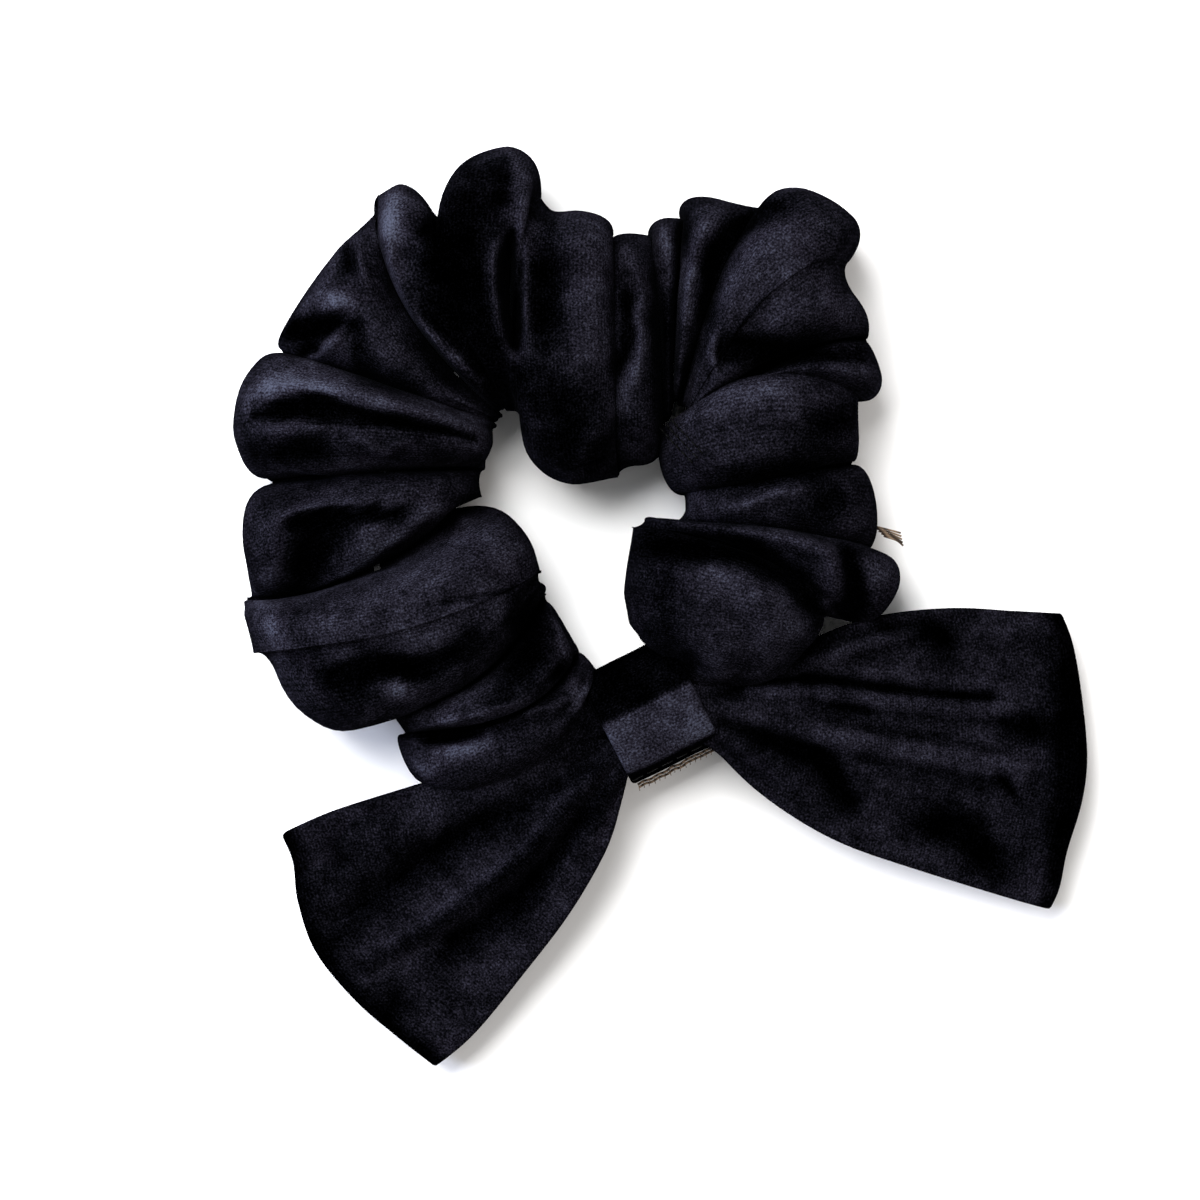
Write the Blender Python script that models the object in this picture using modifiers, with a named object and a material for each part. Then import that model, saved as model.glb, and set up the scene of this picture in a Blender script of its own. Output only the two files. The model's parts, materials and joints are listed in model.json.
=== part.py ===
"""A velvet scrunchie with a bow, modelled as the pieces it is sewn from.

A strip of velvet is rolled into a tube and gathered on a loop of flat elastic. A pleated bow, two open loops
on a bound waist, lies beside the ring, and a short band holds the ring's narrow neck and the bow together.

Lengths are in millimetres in the ring's own plan: the ring's centre is (0, 0), +Y points away from the bow
and +Z points up from the table. Everything hangs under one empty, which is set so that the finished object's
footprint is centred on the world origin, with the table at Z = 0.
"""

import math
from collections import namedtuple

import bpy
from mathutils import Matrix, Vector

MM = 0.001

# Driving dimensions, in millimetres
CORE_RADIUS = 30.0  # from the ring's centre to the elastic
CORE_HEIGHT = 12.0  # of the elastic's centre line above the table
ELASTIC_WIDTH = 6.0
ELASTIC_THICKNESS = 1.0
ELASTIC_OVERLAP = 14.0  # of the elastic's two sewn ends
VELVET = 1.0  # thickness of one layer
DOUBLED_VELVET = 1.4  # two thin layers pressed together, as in the bow and the band
THREAD = 0.5  # diameter
GAP = 0.35  # between pieces that touch
SEAM_SIDE_GAP = 0.225  # between the seam's thread and the sewn edge on each side of it
SEAM_LEAN = 0.6  # how far the sewn edges lean together through the velvet, as a share of its thickness
SEAM_GAP = THREAD + 2 * SEAM_SIDE_GAP + SEAM_LEAN * VELVET  # between two sewn edges
BAND_WIDTH = 15.0
BAND_OVERLAP = 6.0
BOW_WAIST_RADIUS = 4.0
BOW_WAIST_HEIGHT = 11.0
BINDING_TURNS = 5
WHIPPING_TURNS = 6
WHIPPING_SHARE = 0.7  # of the elastic's overlap that the thread covers
BAND_STITCHES = 5
BAND_START = 0.9  # of the turn from the waist's outer side down to where the band leaves it for the neck

# Directions and places, in degrees and millimetres
BOW_ANGLE = -63.3  # of the bow, seen from the ring's centre
NECK_INSET = 1.5  # of the ring's neck towards the centre
NECK_HEIGHT = 8.5
END_SEAM_PUFF = 3  # the cover's ends meet in the valley before this puff
PUFFS_NECK = 7.85  # half the length of the neck that the puffs' places leave room for
ELASTIC_JOIN_ANGLE = 48.0
SEAM_TURN = 225.0  # of the lengthwise seam round the tube: 0 is outside, 90 is the top

# How finely the soft shapes are divided
SECTION_SIDES = 14
STEPS_TO_VALLEY = 2
ELASTIC_STEPS = 72
BELT_SIDES = 9
BAND_STEPS = 56
WAIST_SIDES = 32
COIL_SIDES = 14

# One gathered puff of the cover: where it points, how far it reaches from the elastic towards the ring's
# centre and away from it, and the height of its top
Puff = namedtuple("Puff", "inner_angle inner_reach outer_angle outer_reach top")
PUFFS = (
    Puff(-32, 17, -19, 15, 27),
    Puff(-10, 13, -7, 22, 22),
    Puff(7, 11, 5, 20, 24),
    Puff(26, 10, 18, 19, 27),
    Puff(33, 9, 28, 25, 24),
    Puff(40, 9, 50, 35, 30),
    Puff(47, 9, 70, 22, 24),
    Puff(56, 14, 79, 18, 25),
    Puff(74, 20, 90, 23, 29),
    Puff(100, 13, 101, 31, 31),
    Puff(116, 10, 117, 30, 30),
    Puff(126, 10, 136, 26, 25),
    Puff(140, 14, 159, 25, 29),
    Puff(168, 19, 178, 19, 24),
    Puff(214, 21, 201, 22, 30),
    Puff(256, 16, 224, 13, 24),
    Puff(277, 11, 243, 12, 20),
)
VALLEY_SHARE = 0.78  # of a puff's reach that is left in the valley beside it
VALLEY_TOP_SHARE = 0.86
SUNK_BASE = 2.0  # how much of a puff's round section the table flattens

# One loop of the bow: where it points, its length and its width at the far fold, and which side it is on
Loop = namedtuple("Loop", "name direction length width side")
LOOPS = (
    Loop("bow_left_loop", 215.2, 56.0, 45.0, -1),
    Loop("bow_right_loop", -7.0, 61.0, 48.0, 1),
)
LOOP_ROOT_WIDTH = 7.0
LOOP_ROOT_THICKNESS = 4.0  # over both leaves, where they enter the band
LOOP_THICKNESS = 10.0  # over both leaves, at the far fold
LOOP_FLOOR_GAP = 0.5
LOOP_SWING_GAP = 1.3  # between the band's side and the loop's root, so that the loop can bend there
PLEATS = 3
PLEAT_DEPTH = 1.0
ROOT_TURN = 0.5  # radians of the fold's round that the root cuts off
ROOT_TURN_SHARE = 0.25  # of the loop's length over which it turns from the band's side to its own direction
FOLD_SQUARENESS = 2.2
FOLD_BULGE = 0.06  # of the loop's length, in the middle of its far fold
LOOP_FLARE = 0.75  # power of the reach by which a loop widens
LOOP_DROOP = 0.8  # power of the reach by which it comes down to the table
LOOP_STEPS = 22
LOOP_COLUMNS = 12
WAIST_FOLDS = 8

# What follows from them
NECK_RADIUS = math.hypot(ELASTIC_WIDTH, ELASTIC_THICKNESS) / 2 + GAP + VELVET
NECK_LENGTH = BAND_WIDTH + 2 * GAP
NECK_DISTANCE = CORE_RADIUS - NECK_INSET
BOUND_WAIST_RADIUS = BOW_WAIST_RADIUS + GAP + THREAD + GAP
BAND_CENTRES = NECK_RADIUS + GAP + BOUND_WAIST_RADIUS
OUTWARD = Vector((math.cos(math.radians(BOW_ANGLE)), math.sin(math.radians(BOW_ANGLE)), 0))
ALONG = Vector((-OUTWARD.y, OUTWARD.x, 0))
UP = Vector((0, 0, 1))
NECK = OUTWARD * NECK_DISTANCE + UP * NECK_HEIGHT
WAIST_RISE = BOW_WAIST_HEIGHT - NECK_HEIGHT
WAIST = (
    NECK + OUTWARD * math.sqrt(BAND_CENTRES**2 - WAIST_RISE**2) + UP * WAIST_RISE
)

# Colour, roughness and metallic value of each finish
FINISHES = {
    "black_velvet": ((0.010, 0.010, 0.014, 1), 0.75, 0.0),
    "black_thread": ((0.015, 0.015, 0.018, 1), 0.55, 0.0),
    "black_elastic": ((0.020, 0.020, 0.022, 1), 0.65, 0.0),
}

# One cross-section of the cover: its innermost and outermost points in plan, and its lowest and highest Z
Section = namedtuple("Section", "inner outer bottom top")


def polar(angle, radius):
    """The point in plan at that angle in degrees and that distance from the ring's centre."""
    turn = math.radians(angle)
    return Vector((math.cos(turn) * radius, math.sin(turn) * radius, 0))


def clear_scene():
    """Removes what the scene holds."""
    for thing in list(bpy.data.objects):
        bpy.data.objects.remove(thing, do_unlink=True)


def finish(name):
    """The material of that finish."""
    found = bpy.data.materials.get(name)
    if found:
        return found
    colour, roughness, metallic = FINISHES[name]
    material = bpy.data.materials.new(name)
    material.use_nodes = True
    shader = material.node_tree.nodes["Principled BSDF"]
    shader.inputs["Base Color"].default_value = colour
    shader.inputs["Roughness"].default_value = roughness
    shader.inputs["Metallic"].default_value = metallic
    return material


def add_object(name, data, pivot, material, place=None):
    """A named object hung under the empty at its pivot. Its data is in the ring's plan, unless a place is
    given, which is where the object stands in the plan and which way it is turned."""
    made = bpy.data.objects.new(name, data)
    collection.objects.link(made)
    made.parent = pivot_empties[tuple(pivot)]
    if place:
        offset = (place.translation - pivot) * MM
        made.matrix_local = Matrix.Translation(offset) @ place.to_3x3().to_4x4()
    else:
        data.transform(Matrix.Translation(-pivot))
    data.transform(Matrix.Scale(MM, 4))
    data.materials.append(finish(material))
    return made


def add_pivot(name, place, parent=None):
    """An empty on a joint's axis, or at the ring's centre."""
    empty = bpy.data.objects.new(name, None)
    collection.objects.link(empty)
    empty.empty_display_size = 0.01
    empty.parent = parent
    from_parent = place - (Vector(parent["plan_place"]) if parent else Vector((0, 0, 0)))
    empty.location = from_parent * MM
    empty["plan_place"] = place
    pivot_empties[tuple(place)] = empty
    return empty


def add_sheet(name, rows, thickness, pivot, material, outside=1):
    """A shell of that thickness on a grid of points, thickened away from the side that faces out."""
    across = len(rows[0])
    points = [point for row in rows for point in row]
    faces = [
        (i * across + j, i * across + j + 1, (i + 1) * across + j + 1, (i + 1) * across + j)
        for i in range(len(rows) - 1)
        for j in range(across - 1)
    ]
    mesh = bpy.data.meshes.new(name)
    mesh.from_pydata(points, [], [face[::outside] for face in faces])
    mesh.shade_smooth()
    made = add_object(name, mesh, pivot, material)
    wall = made.modifiers.new("wall", "SOLIDIFY")
    wall.thickness = thickness * MM
    wall.offset = -1
    wall.use_even_offset = False
    return made


def add_thread(name, points, pivot, thickness=THREAD):
    """A thread that follows the points."""
    curve = bpy.data.curves.new(name, "CURVE")
    curve.dimensions = "3D"
    curve.bevel_depth = thickness / 2
    curve.bevel_resolution = 1
    curve.use_fill_caps = True
    spline = curve.splines.new("POLY")
    spline.points.add(len(points) - 1)
    for knot, point in zip(spline.points, points):
        knot.co = (*point, 1)
    return add_object(name, curve, pivot, "black_thread")


def ease(share):
    """0 to 1 with level ends."""
    return share * share * (3 - 2 * share)


def blended(first, second, share):
    """The section between two sections."""
    return Section(*(a + (b - a) * share for a, b in zip(first, second)))


def beside_neck(angle, radius):
    """The point of a puff there, moved along the neck by as much as half the neck outgrows its room."""
    point = polar(angle, radius)
    share = (1 + math.cos(math.radians(angle - BOW_ANGLE))) / 2
    side = math.copysign(1, point.dot(ALONG))
    return point + ALONG * side * (NECK_LENGTH / 2 - PUFFS_NECK) * share


def puff_section(puff):
    """The section at a puff's widest."""
    return Section(
        beside_neck(puff.inner_angle, CORE_RADIUS - puff.inner_reach),
        beside_neck(puff.outer_angle, CORE_RADIUS + puff.outer_reach),
        -SUNK_BASE,
        puff.top,
    )


def valley_section(before, after):
    """The section of the valley between two puffs."""
    inner_angle = (before.inner_angle + after.inner_angle) / 2
    outer_angle = (before.outer_angle + after.outer_angle) / 2
    inner_reach = (before.inner_reach + after.inner_reach) / 2 * VALLEY_SHARE
    outer_reach = (before.outer_reach + after.outer_reach) / 2 * VALLEY_SHARE
    return Section(
        beside_neck(inner_angle, CORE_RADIUS - inner_reach),
        beside_neck(outer_angle, CORE_RADIUS + outer_reach),
        -SUNK_BASE,
        (before.top + after.top) / 2 * VALLEY_TOP_SHARE,
    )


def neck_section(along):
    """The round section of the neck, at that distance along it from the bow's middle."""
    middle = OUTWARD * NECK_DISTANCE + ALONG * along
    return Section(
        middle - OUTWARD * NECK_RADIUS,
        middle + OUTWARD * NECK_RADIUS,
        NECK_HEIGHT - NECK_RADIUS,
        NECK_HEIGHT + NECK_RADIUS,
    )


def key_sections():
    """The cover's sections from its end seam once round the ring: puffs, valleys and the neck."""
    keys = [neck_section(-NECK_LENGTH / 2), neck_section(0), neck_section(NECK_LENGTH / 2)]
    seam_key = 0
    for number, puff in enumerate(PUFFS):
        if number:
            if number == END_SEAM_PUFF:
                seam_key = len(keys)
            keys.append(valley_section(PUFFS[number - 1], puff))
        keys.append(puff_section(puff))
    return keys[seam_key:] + keys[: seam_key + 1]


def point_of(section, turn):
    """The point of a section at that turn in radians: 0 is outside and a quarter turn is the top."""
    middle = (section.inner + section.outer) / 2
    half = (section.outer - section.inner) / 2
    centre_height = (section.top + section.bottom) / 2
    height = centre_height + (section.top - section.bottom) / 2 * math.sin(turn)
    return middle + half * math.cos(turn) + UP * max(0.0, height)


def cover_sections():
    """All sections of the cover, with the sections between the keys filled in."""
    keys = key_sections()
    sections = []
    for first, second in zip(keys, keys[1:]):
        for step in range(STEPS_TO_VALLEY):
            sections.append(blended(first, second, ease(step / STEPS_TO_VALLEY)))
    sections.append(keys[-1])
    return sections


def opened(sections, opening):
    """The sections with the first and last drawn back, so that the sewn ends leave room for the thread."""
    ends = []
    for end, beside in ((sections[0], sections[1]), (sections[-1], sections[-2])):
        narrowest = min((beside.inner - end.inner).length, (beside.outer - end.outer).length)
        ends.append(blended(end, beside, opening / 2 / narrowest))
    return [ends[0], *sections[1:-1], ends[1]]


def seam_turns():
    """Turns of a section's points, from one sewn edge round the tube to the other."""
    start = math.radians(SEAM_TURN)
    return [start + 2 * math.pi * side / SECTION_SIDES for side in range(SECTION_SIDES + 1)]


def add_cover():
    """The velvet tube, one strip sewn along its length and at its two ends, and both seams' threads."""
    sections = cover_sections()
    turns = seam_turns()
    rows = []
    for section in opened(sections, SEAM_GAP):
        row = [point_of(section, turn) for turn in turns]
        for edge, beside in ((0, 1), (-1, -2)):
            inward = (row[beside] - row[edge]).normalized()
            row[edge] = row[edge] + inward * SEAM_GAP / 2
        rows.append(row)
    add_sheet("velvet_cover", rows, VELVET, RING_CENTRE, "black_velvet", outside=-1)

    seam = [point_of(section, turns[0]) for section in sections[1:-1]]
    inside = [point_of(section, turns[0] + math.pi) for section in sections[1:-1]]
    sunk = [a + (b - a).normalized() * VELVET / 2 for a, b in zip(seam, inside)]
    add_thread("cover_long_seam_thread", sunk, RING_CENTRE)

    end = sections[0]
    middle = point_of(end, 0).lerp(point_of(end, math.pi), 0.5)
    loop = [point_of(end, turn) for turn in turns[1:-1]]
    drawn_in = [point + (middle - point).normalized() * VELVET / 2 for point in loop]
    add_thread("cover_end_seam_thread", drawn_in, RING_CENTRE)


def core_point(angle):
    """The elastic's centre line at that angle: a circle that dips and draws in at the neck."""
    from_neck = abs((angle - BOW_ANGLE + 180) % 360 - 180)
    straight = math.degrees(math.atan2(NECK_LENGTH / 2, NECK_DISTANCE))
    if from_neck <= straight:
        turn = math.radians((angle - BOW_ANGLE + 180) % 360 - 180)
        return NECK + ALONG * math.tan(turn) * NECK_DISTANCE
    share = ease(min(1.0, (from_neck - straight) / (2 * straight)))
    neck_end = NECK_DISTANCE / math.cos(math.radians(straight))
    radius = neck_end + (CORE_RADIUS - neck_end) * share
    return polar(angle, radius) + UP * (NECK_HEIGHT + (CORE_HEIGHT - NECK_HEIGHT) * share)


def add_elastic():
    """The flat elastic, its two ends overlapped, and the thread that whips them together."""
    overlap_angle = math.degrees(ELASTIC_OVERLAP / CORE_RADIUS)
    start = ELASTIC_JOIN_ANGLE - overlap_angle / 2
    step_angle = (360 + overlap_angle) / ELASTIC_STEPS
    lift = ELASTIC_THICKNESS + GAP
    rows = []
    for step in range(ELASTIC_STEPS + 1):
        angle = start + step * step_angle
        into_overlap = (step * step_angle - (360 - overlap_angle)) / overlap_angle
        out = lift * ease(min(1.0, max(0.0, into_overlap)))
        centre = core_point(angle) + polar(angle, out + ELASTIC_THICKNESS / 2)
        rows.append([centre - UP * ELASTIC_WIDTH / 2, centre + UP * ELASTIC_WIDTH / 2])
    add_sheet("elastic_band", rows, ELASTIC_THICKNESS, RING_CENTRE, "black_elastic", outside=-1)

    middle_radius = CORE_RADIUS + lift / 2
    half_out = ELASTIC_THICKNESS + GAP / 2 + GAP + THREAD / 2
    half_up = ELASTIC_WIDTH / 2 + GAP + THREAD / 2
    corners = [(-half_out, -half_up), (half_out, -half_up), (half_out, half_up), (-half_out, half_up)]
    whipping = []
    total = WHIPPING_TURNS * len(corners)
    for number in range(total + 1):
        out, up = corners[number % len(corners)]
        angle = ELASTIC_JOIN_ANGLE + overlap_angle * WHIPPING_SHARE * (number / total - 0.5)
        whipping.append(polar(angle, middle_radius + out) + UP * (CORE_HEIGHT + up))
    add_thread("elastic_join_thread", whipping, RING_CENTRE)


def belt_path(gap):
    """Points and outward normals of a belt round the neck and the bound waist, with that gap to both. It
    starts under the waist, goes up its outer side and over both, and comes back under the neck."""
    small, large = NECK_RADIUS + gap, BOUND_WAIST_RADIUS + gap
    tilt = math.atan2(WAIST_RISE, (WAIST - NECK).dot(OUTWARD))
    lean = math.acos((small - large) / BAND_CENTRES)
    start = tilt - lean * BAND_START
    once = 2 * math.pi
    arcs = (
        (WAIST, large, start, tilt + lean),
        (NECK, small, tilt + lean, tilt + once - lean),
        (WAIST, large, tilt + once - lean, start + once),
    )
    path = []
    for centre, radius, begin, finish_turn in arcs:
        for side in range(BELT_SIDES + 1):
            turn = begin + (finish_turn - begin) * side / BELT_SIDES
            normal = OUTWARD * math.cos(turn) + UP * math.sin(turn)
            path.append((centre + normal * radius, normal))
    distinct = [path[0]]
    for point, normal in path[1:]:
        if (point - distinct[-1][0]).length > GAP / 10:
            distinct.append((point, normal))
    return distinct


def lapped_path(gap):
    """Points and outward normals along the band, once round the belt and on over its own start, and the
    height at which the lap lies over it."""
    belt = belt_path(gap)
    lengths = [0.0]
    for (point, _), (after, _) in zip(belt, belt[1:]):
        lengths.append(lengths[-1] + (after - point).length)
    once_round = lengths[-1]
    raised = DOUBLED_VELVET + GAP
    total = once_round + BAND_OVERLAP
    path = []
    for step in range(BAND_STEPS + 1):
        run = total * step / BAND_STEPS
        on_belt = run % once_round
        place = max(i for i, length in enumerate(lengths[:-1]) if length <= on_belt)
        share = (on_belt - lengths[place]) / (lengths[place + 1] - lengths[place])
        point = belt[place][0].lerp(belt[place + 1][0], share)
        normal = belt[place][1].lerp(belt[place + 1][1], share).normalized()
        climbed = (run - once_round + BAND_OVERLAP + GAP) / BAND_OVERLAP
        lift = raised * ease(min(1.0, max(0.0, climbed)))
        path.append((point + normal * lift, normal))
    return path, raised


def add_band():
    """The short band round the neck and the bow's waist, and the stitches that hold its lapped end."""
    path, raised = lapped_path(GAP + DOUBLED_VELVET)
    half = ALONG * BAND_WIDTH / 2
    rows = [[point - half, point + half] for point, _ in path]
    add_sheet("centre_band", rows, DOUBLED_VELVET, BAND_PIVOT, "black_velvet")

    end, normal = path[-1]
    beyond = (end - path[-2][0]).normalized()
    clear = GAP + THREAD / 2
    on_lap = normal * clear - beyond * 2 * THREAD
    over_edge = normal * clear + beyond * clear
    below_edge = beyond * (clear + THREAD) + normal * (clear - raised)
    pattern = (on_lap, over_edge, below_edge, over_edge)
    total = len(pattern) * BAND_STITCHES
    span = BAND_WIDTH - 4 * THREAD
    zigzag = [
        end + ALONG * span * (number / total - 0.5) + pattern[number % len(pattern)]
        for number in range(total + 1)
    ]
    add_thread("centre_band_stitches", zigzag, BAND_PIVOT)


def add_bow_waist():
    """The gathered middle of the bow and the thread wound round it."""
    length = BAND_WIDTH - 2 * GAP
    outline = []
    for side in range(WAIST_SIDES):
        turn = 2 * math.pi * side / WAIST_SIDES
        radius = BOW_WAIST_RADIUS - PLEAT_DEPTH / 2 * (1 - math.cos(WAIST_FOLDS * turn)) / 2
        outline.append(OUTWARD * math.cos(turn) * radius + UP * math.sin(turn) * radius)
    curve = bpy.data.curves.new("bow_waist", "CURVE")
    curve.dimensions = "2D"
    curve.fill_mode = "BOTH"
    curve.extrude = length / 2
    spline = curve.splines.new("POLY")
    spline.use_cyclic_u = True
    spline.points.add(WAIST_SIDES - 1)
    for knot, point in zip(spline.points, outline):
        knot.co = (point.dot(OUTWARD), point.z, 0, 1)
    facing = Matrix((OUTWARD, UP, OUTWARD.cross(UP))).transposed().to_4x4()
    add_object("bow_waist", curve, BAND_PIVOT, "black_velvet", Matrix.Translation(WAIST) @ facing)

    coil_radius = BOW_WAIST_RADIUS + GAP + THREAD / 2
    total = BINDING_TURNS * COIL_SIDES
    pitch = THREAD + 2 * GAP
    coil = []
    for number in range(total + 1):
        turn = 2 * math.pi * number / COIL_SIDES
        along = ALONG * pitch * BINDING_TURNS * (number / total - 0.5)
        out = OUTWARD * math.cos(turn) + UP * math.sin(turn)
        coil.append(WAIST + along + out * coil_radius)
    add_thread("waist_binding_thread", coil, BAND_PIVOT)


def loop_root(loop):
    """Where a loop bends: the upper edge of its root, along the band's side."""
    beside_band = ALONG * loop.side * (BAND_WIDTH / 2 + LOOP_SWING_GAP)
    return WAIST + beside_band + UP * LOOP_ROOT_THICKNESS / 2


def loop_point(loop, root, step, column):
    """A point of a loop's strip: step runs 0 to 1 from the upper root over the far fold to the lower root,
    and column runs -1 to 1 across the strip."""
    turn = ROOT_TURN + (2 * math.pi - 2 * ROOT_TURN) * step
    reach = (math.cos(ROOT_TURN) - math.cos(turn)) / (math.cos(ROOT_TURN) + 1)
    facing = polar(loop.direction, 1)
    turned = ease(min(1.0, reach / ROOT_TURN_SHARE))
    sideways = UP.cross(ALONG * loop.side).lerp(UP.cross(facing), turned).normalized()
    half_width = (LOOP_ROOT_WIDTH + (loop.width - LOOP_ROOT_WIDTH) * reach**LOOP_FLARE) / 2
    half_open = (LOOP_ROOT_THICKNESS + (LOOP_THICKNESS - LOOP_ROOT_THICKNESS) * reach) / 2
    fold = math.copysign(min(1.0, abs(math.sin(turn)) * FOLD_SQUARENESS), math.pi - turn)
    lowest_middle = LOOP_THICKNESS / 2 + LOOP_FLOOR_GAP + PLEAT_DEPTH / 2
    middle = WAIST.z + (lowest_middle - WAIST.z) * reach**LOOP_DROOP
    pleat = PLEAT_DEPTH / 2 * math.cos(PLEATS * math.pi * column) * (1 - reach)
    bulge = loop.length * FOLD_BULGE * (1 - column * column) * reach
    place = facing * (loop.length * reach * (1 - FOLD_BULGE) + bulge) + sideways * half_width * column
    return root + place + UP * (middle - root.z + half_open * fold + pleat)


def add_loop(loop):
    """One loop of the bow: a wide strip that runs out, folds over and comes back, pleated at its root."""
    root = loop_root(loop)
    rows = []
    for step in range(LOOP_STEPS + 1):
        columns = [2 * number / LOOP_COLUMNS - 1 for number in range(LOOP_COLUMNS + 1)]
        rows.append([loop_point(loop, root, step / LOOP_STEPS, column) for column in columns])
    add_sheet(loop.name, rows, DOUBLED_VELVET, root, "black_velvet", outside=-1)


def centre_footprint():
    """Moves the whole object so that the middle of its footprint is over the world origin."""
    bpy.context.view_layer.update()
    graph = bpy.context.evaluated_depsgraph_get()
    corners = []
    for made in collection.objects:
        if made.type == "EMPTY":
            continue
        shaped = made.evaluated_get(graph)
        mesh = shaped.to_mesh()
        corners.extend(shaped.matrix_world @ vertex.co for vertex in mesh.vertices)
        shaped.to_mesh_clear()
    for axis in (0, 1):
        values = [corner[axis] for corner in corners]
        ring_empty.location[axis] -= (min(values) + max(values)) / 2
    bpy.context.view_layer.update()


clear_scene()
collection = bpy.data.collections.new("bow_scrunchie")
bpy.context.scene.collection.children.link(collection)
pivot_empties = {}

RING_CENTRE = Vector((0, 0, 0))
BAND_PIVOT = NECK.copy()
ring_empty = add_pivot("ring_pivot", RING_CENTRE)
band_empty = add_pivot("band_pivot", BAND_PIVOT, ring_empty)
for bow_loop in LOOPS:
    add_pivot(bow_loop.name + "_pivot", loop_root(bow_loop), band_empty)

add_cover()
add_elastic()
add_bow_waist()
add_band()
for bow_loop in LOOPS:
    add_loop(bow_loop)
centre_footprint()
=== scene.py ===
"""Looks of a black velvet scrunchie with a bow: its gathered cover, pleated bow, band and threads.

Places in the classes below are in millimetres in the ring's own plan: (0, 0) is the ring's centre, +X and
+Y are the frame's, and heights are above the table. The ring's centre and the bow's direction are worked out
from the joint that the bow flips on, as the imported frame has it.
"""

import json
import logging
import math
from dataclasses import dataclass, field
from enum import Enum

import bpy
import numpy as np
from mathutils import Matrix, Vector


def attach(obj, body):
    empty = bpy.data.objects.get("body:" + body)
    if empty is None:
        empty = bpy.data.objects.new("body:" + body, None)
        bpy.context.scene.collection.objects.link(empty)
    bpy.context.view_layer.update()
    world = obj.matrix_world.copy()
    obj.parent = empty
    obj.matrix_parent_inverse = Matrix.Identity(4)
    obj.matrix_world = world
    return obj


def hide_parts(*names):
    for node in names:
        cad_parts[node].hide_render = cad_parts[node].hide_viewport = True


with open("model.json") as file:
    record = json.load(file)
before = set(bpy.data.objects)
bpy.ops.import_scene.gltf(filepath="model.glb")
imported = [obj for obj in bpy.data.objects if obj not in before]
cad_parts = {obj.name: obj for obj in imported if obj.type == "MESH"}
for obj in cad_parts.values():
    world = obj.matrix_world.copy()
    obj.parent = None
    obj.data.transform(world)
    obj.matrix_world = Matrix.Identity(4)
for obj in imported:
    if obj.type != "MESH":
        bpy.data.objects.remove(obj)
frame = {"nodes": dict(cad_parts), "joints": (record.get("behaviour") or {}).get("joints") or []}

MM = 0.001
# Width of one band of a wave texture whose scale is 1
WAVE_BAND = 0.314
LOG = logging.getLogger("bow_scrunchie")
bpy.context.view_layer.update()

Array = np.ndarray


# ---------------------------------------------------------------- helpers


def linear(hex_colour: str, alpha: float = 1.0) -> tuple[float, float, float, float]:
    """The linear colour of an sRGB hex value.

    Args:
        hex_colour: Six hex digits after a #.
        alpha: The opacity that goes with it.

    Returns:
        Red, green, blue and alpha, ready for a colour socket.
    """
    parts = (int(hex_colour[i : i + 2], 16) / 255 for i in (1, 3, 5))
    return (*(c / 12.92 if c <= 0.04045 else ((c + 0.055) / 1.055) ** 2.4 for c in parts), alpha)


def add_node(tree: bpy.types.NodeTree, kind: str, inputs: dict | None = None, **settings) -> bpy.types.Node:
    """Adds a node with its settings and links.

    Args:
        tree: The node tree it joins.
        kind: The node's type.
        inputs: Socket name or number to a socket to link, or to a value.
        settings: Properties of the node itself.

    Returns:
        The node.
    """
    made = tree.nodes.new(kind)
    for name, value in settings.items():
        setattr(made, name, value)
    for key, value in (inputs or {}).items():
        if isinstance(value, bpy.types.NodeSocket):
            tree.links.new(value, made.inputs[key])
        else:
            made.inputs[key].default_value = value
    return made


def ease(share: Array | float) -> Array | float:
    """0 to 1 with level ends."""
    share = np.clip(share, 0, 1)
    return share * share * (3 - 2 * share)


def smooth_line(points: Array, count: int) -> Array:
    """A smooth curve through some points.

    Args:
        points: The points it goes through.
        count: How many points to read from it.

    Returns:
        That many points, evenly spaced along the curve's parameter.
    """
    points = np.asarray(points, float)
    padded = np.vstack([2 * points[0] - points[1], points, 2 * points[-1] - points[-2]])
    place = np.linspace(0, len(points) - 1, count)
    start = np.minimum(place.astype(int), len(points) - 2)
    t = (place - start)[:, None]
    a, b, c, d = (padded[start + step] for step in range(4))
    return 0.5 * (2 * b + (c - a) * t + (2 * a - 5 * b + 4 * c - d) * t**2 + (3 * b - a - 3 * c + d) * t**3)


def value_noise(u: Array, v: Array, seed: int) -> Array:
    """Smooth random values on a plane, from -1 to 1, with one bump for each unit.

    Args:
        u: First coordinate of each point.
        v: Second coordinate of each point.
        seed: Number that fixes the pattern.

    Returns:
        One value for each point.
    """
    size = 64
    lattice = np.random.default_rng(seed).uniform(-1, 1, (size, size))
    i, j = np.floor(u).astype(int), np.floor(v).astype(int)
    s, t = ease(u - i), ease(v - j)
    rows = [
        lattice[i % size, k % size] * (1 - s) + lattice[(i + 1) % size, k % size] * s for k in (j, j + 1)
    ]
    return rows[0] * (1 - t) + rows[1] * t


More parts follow.
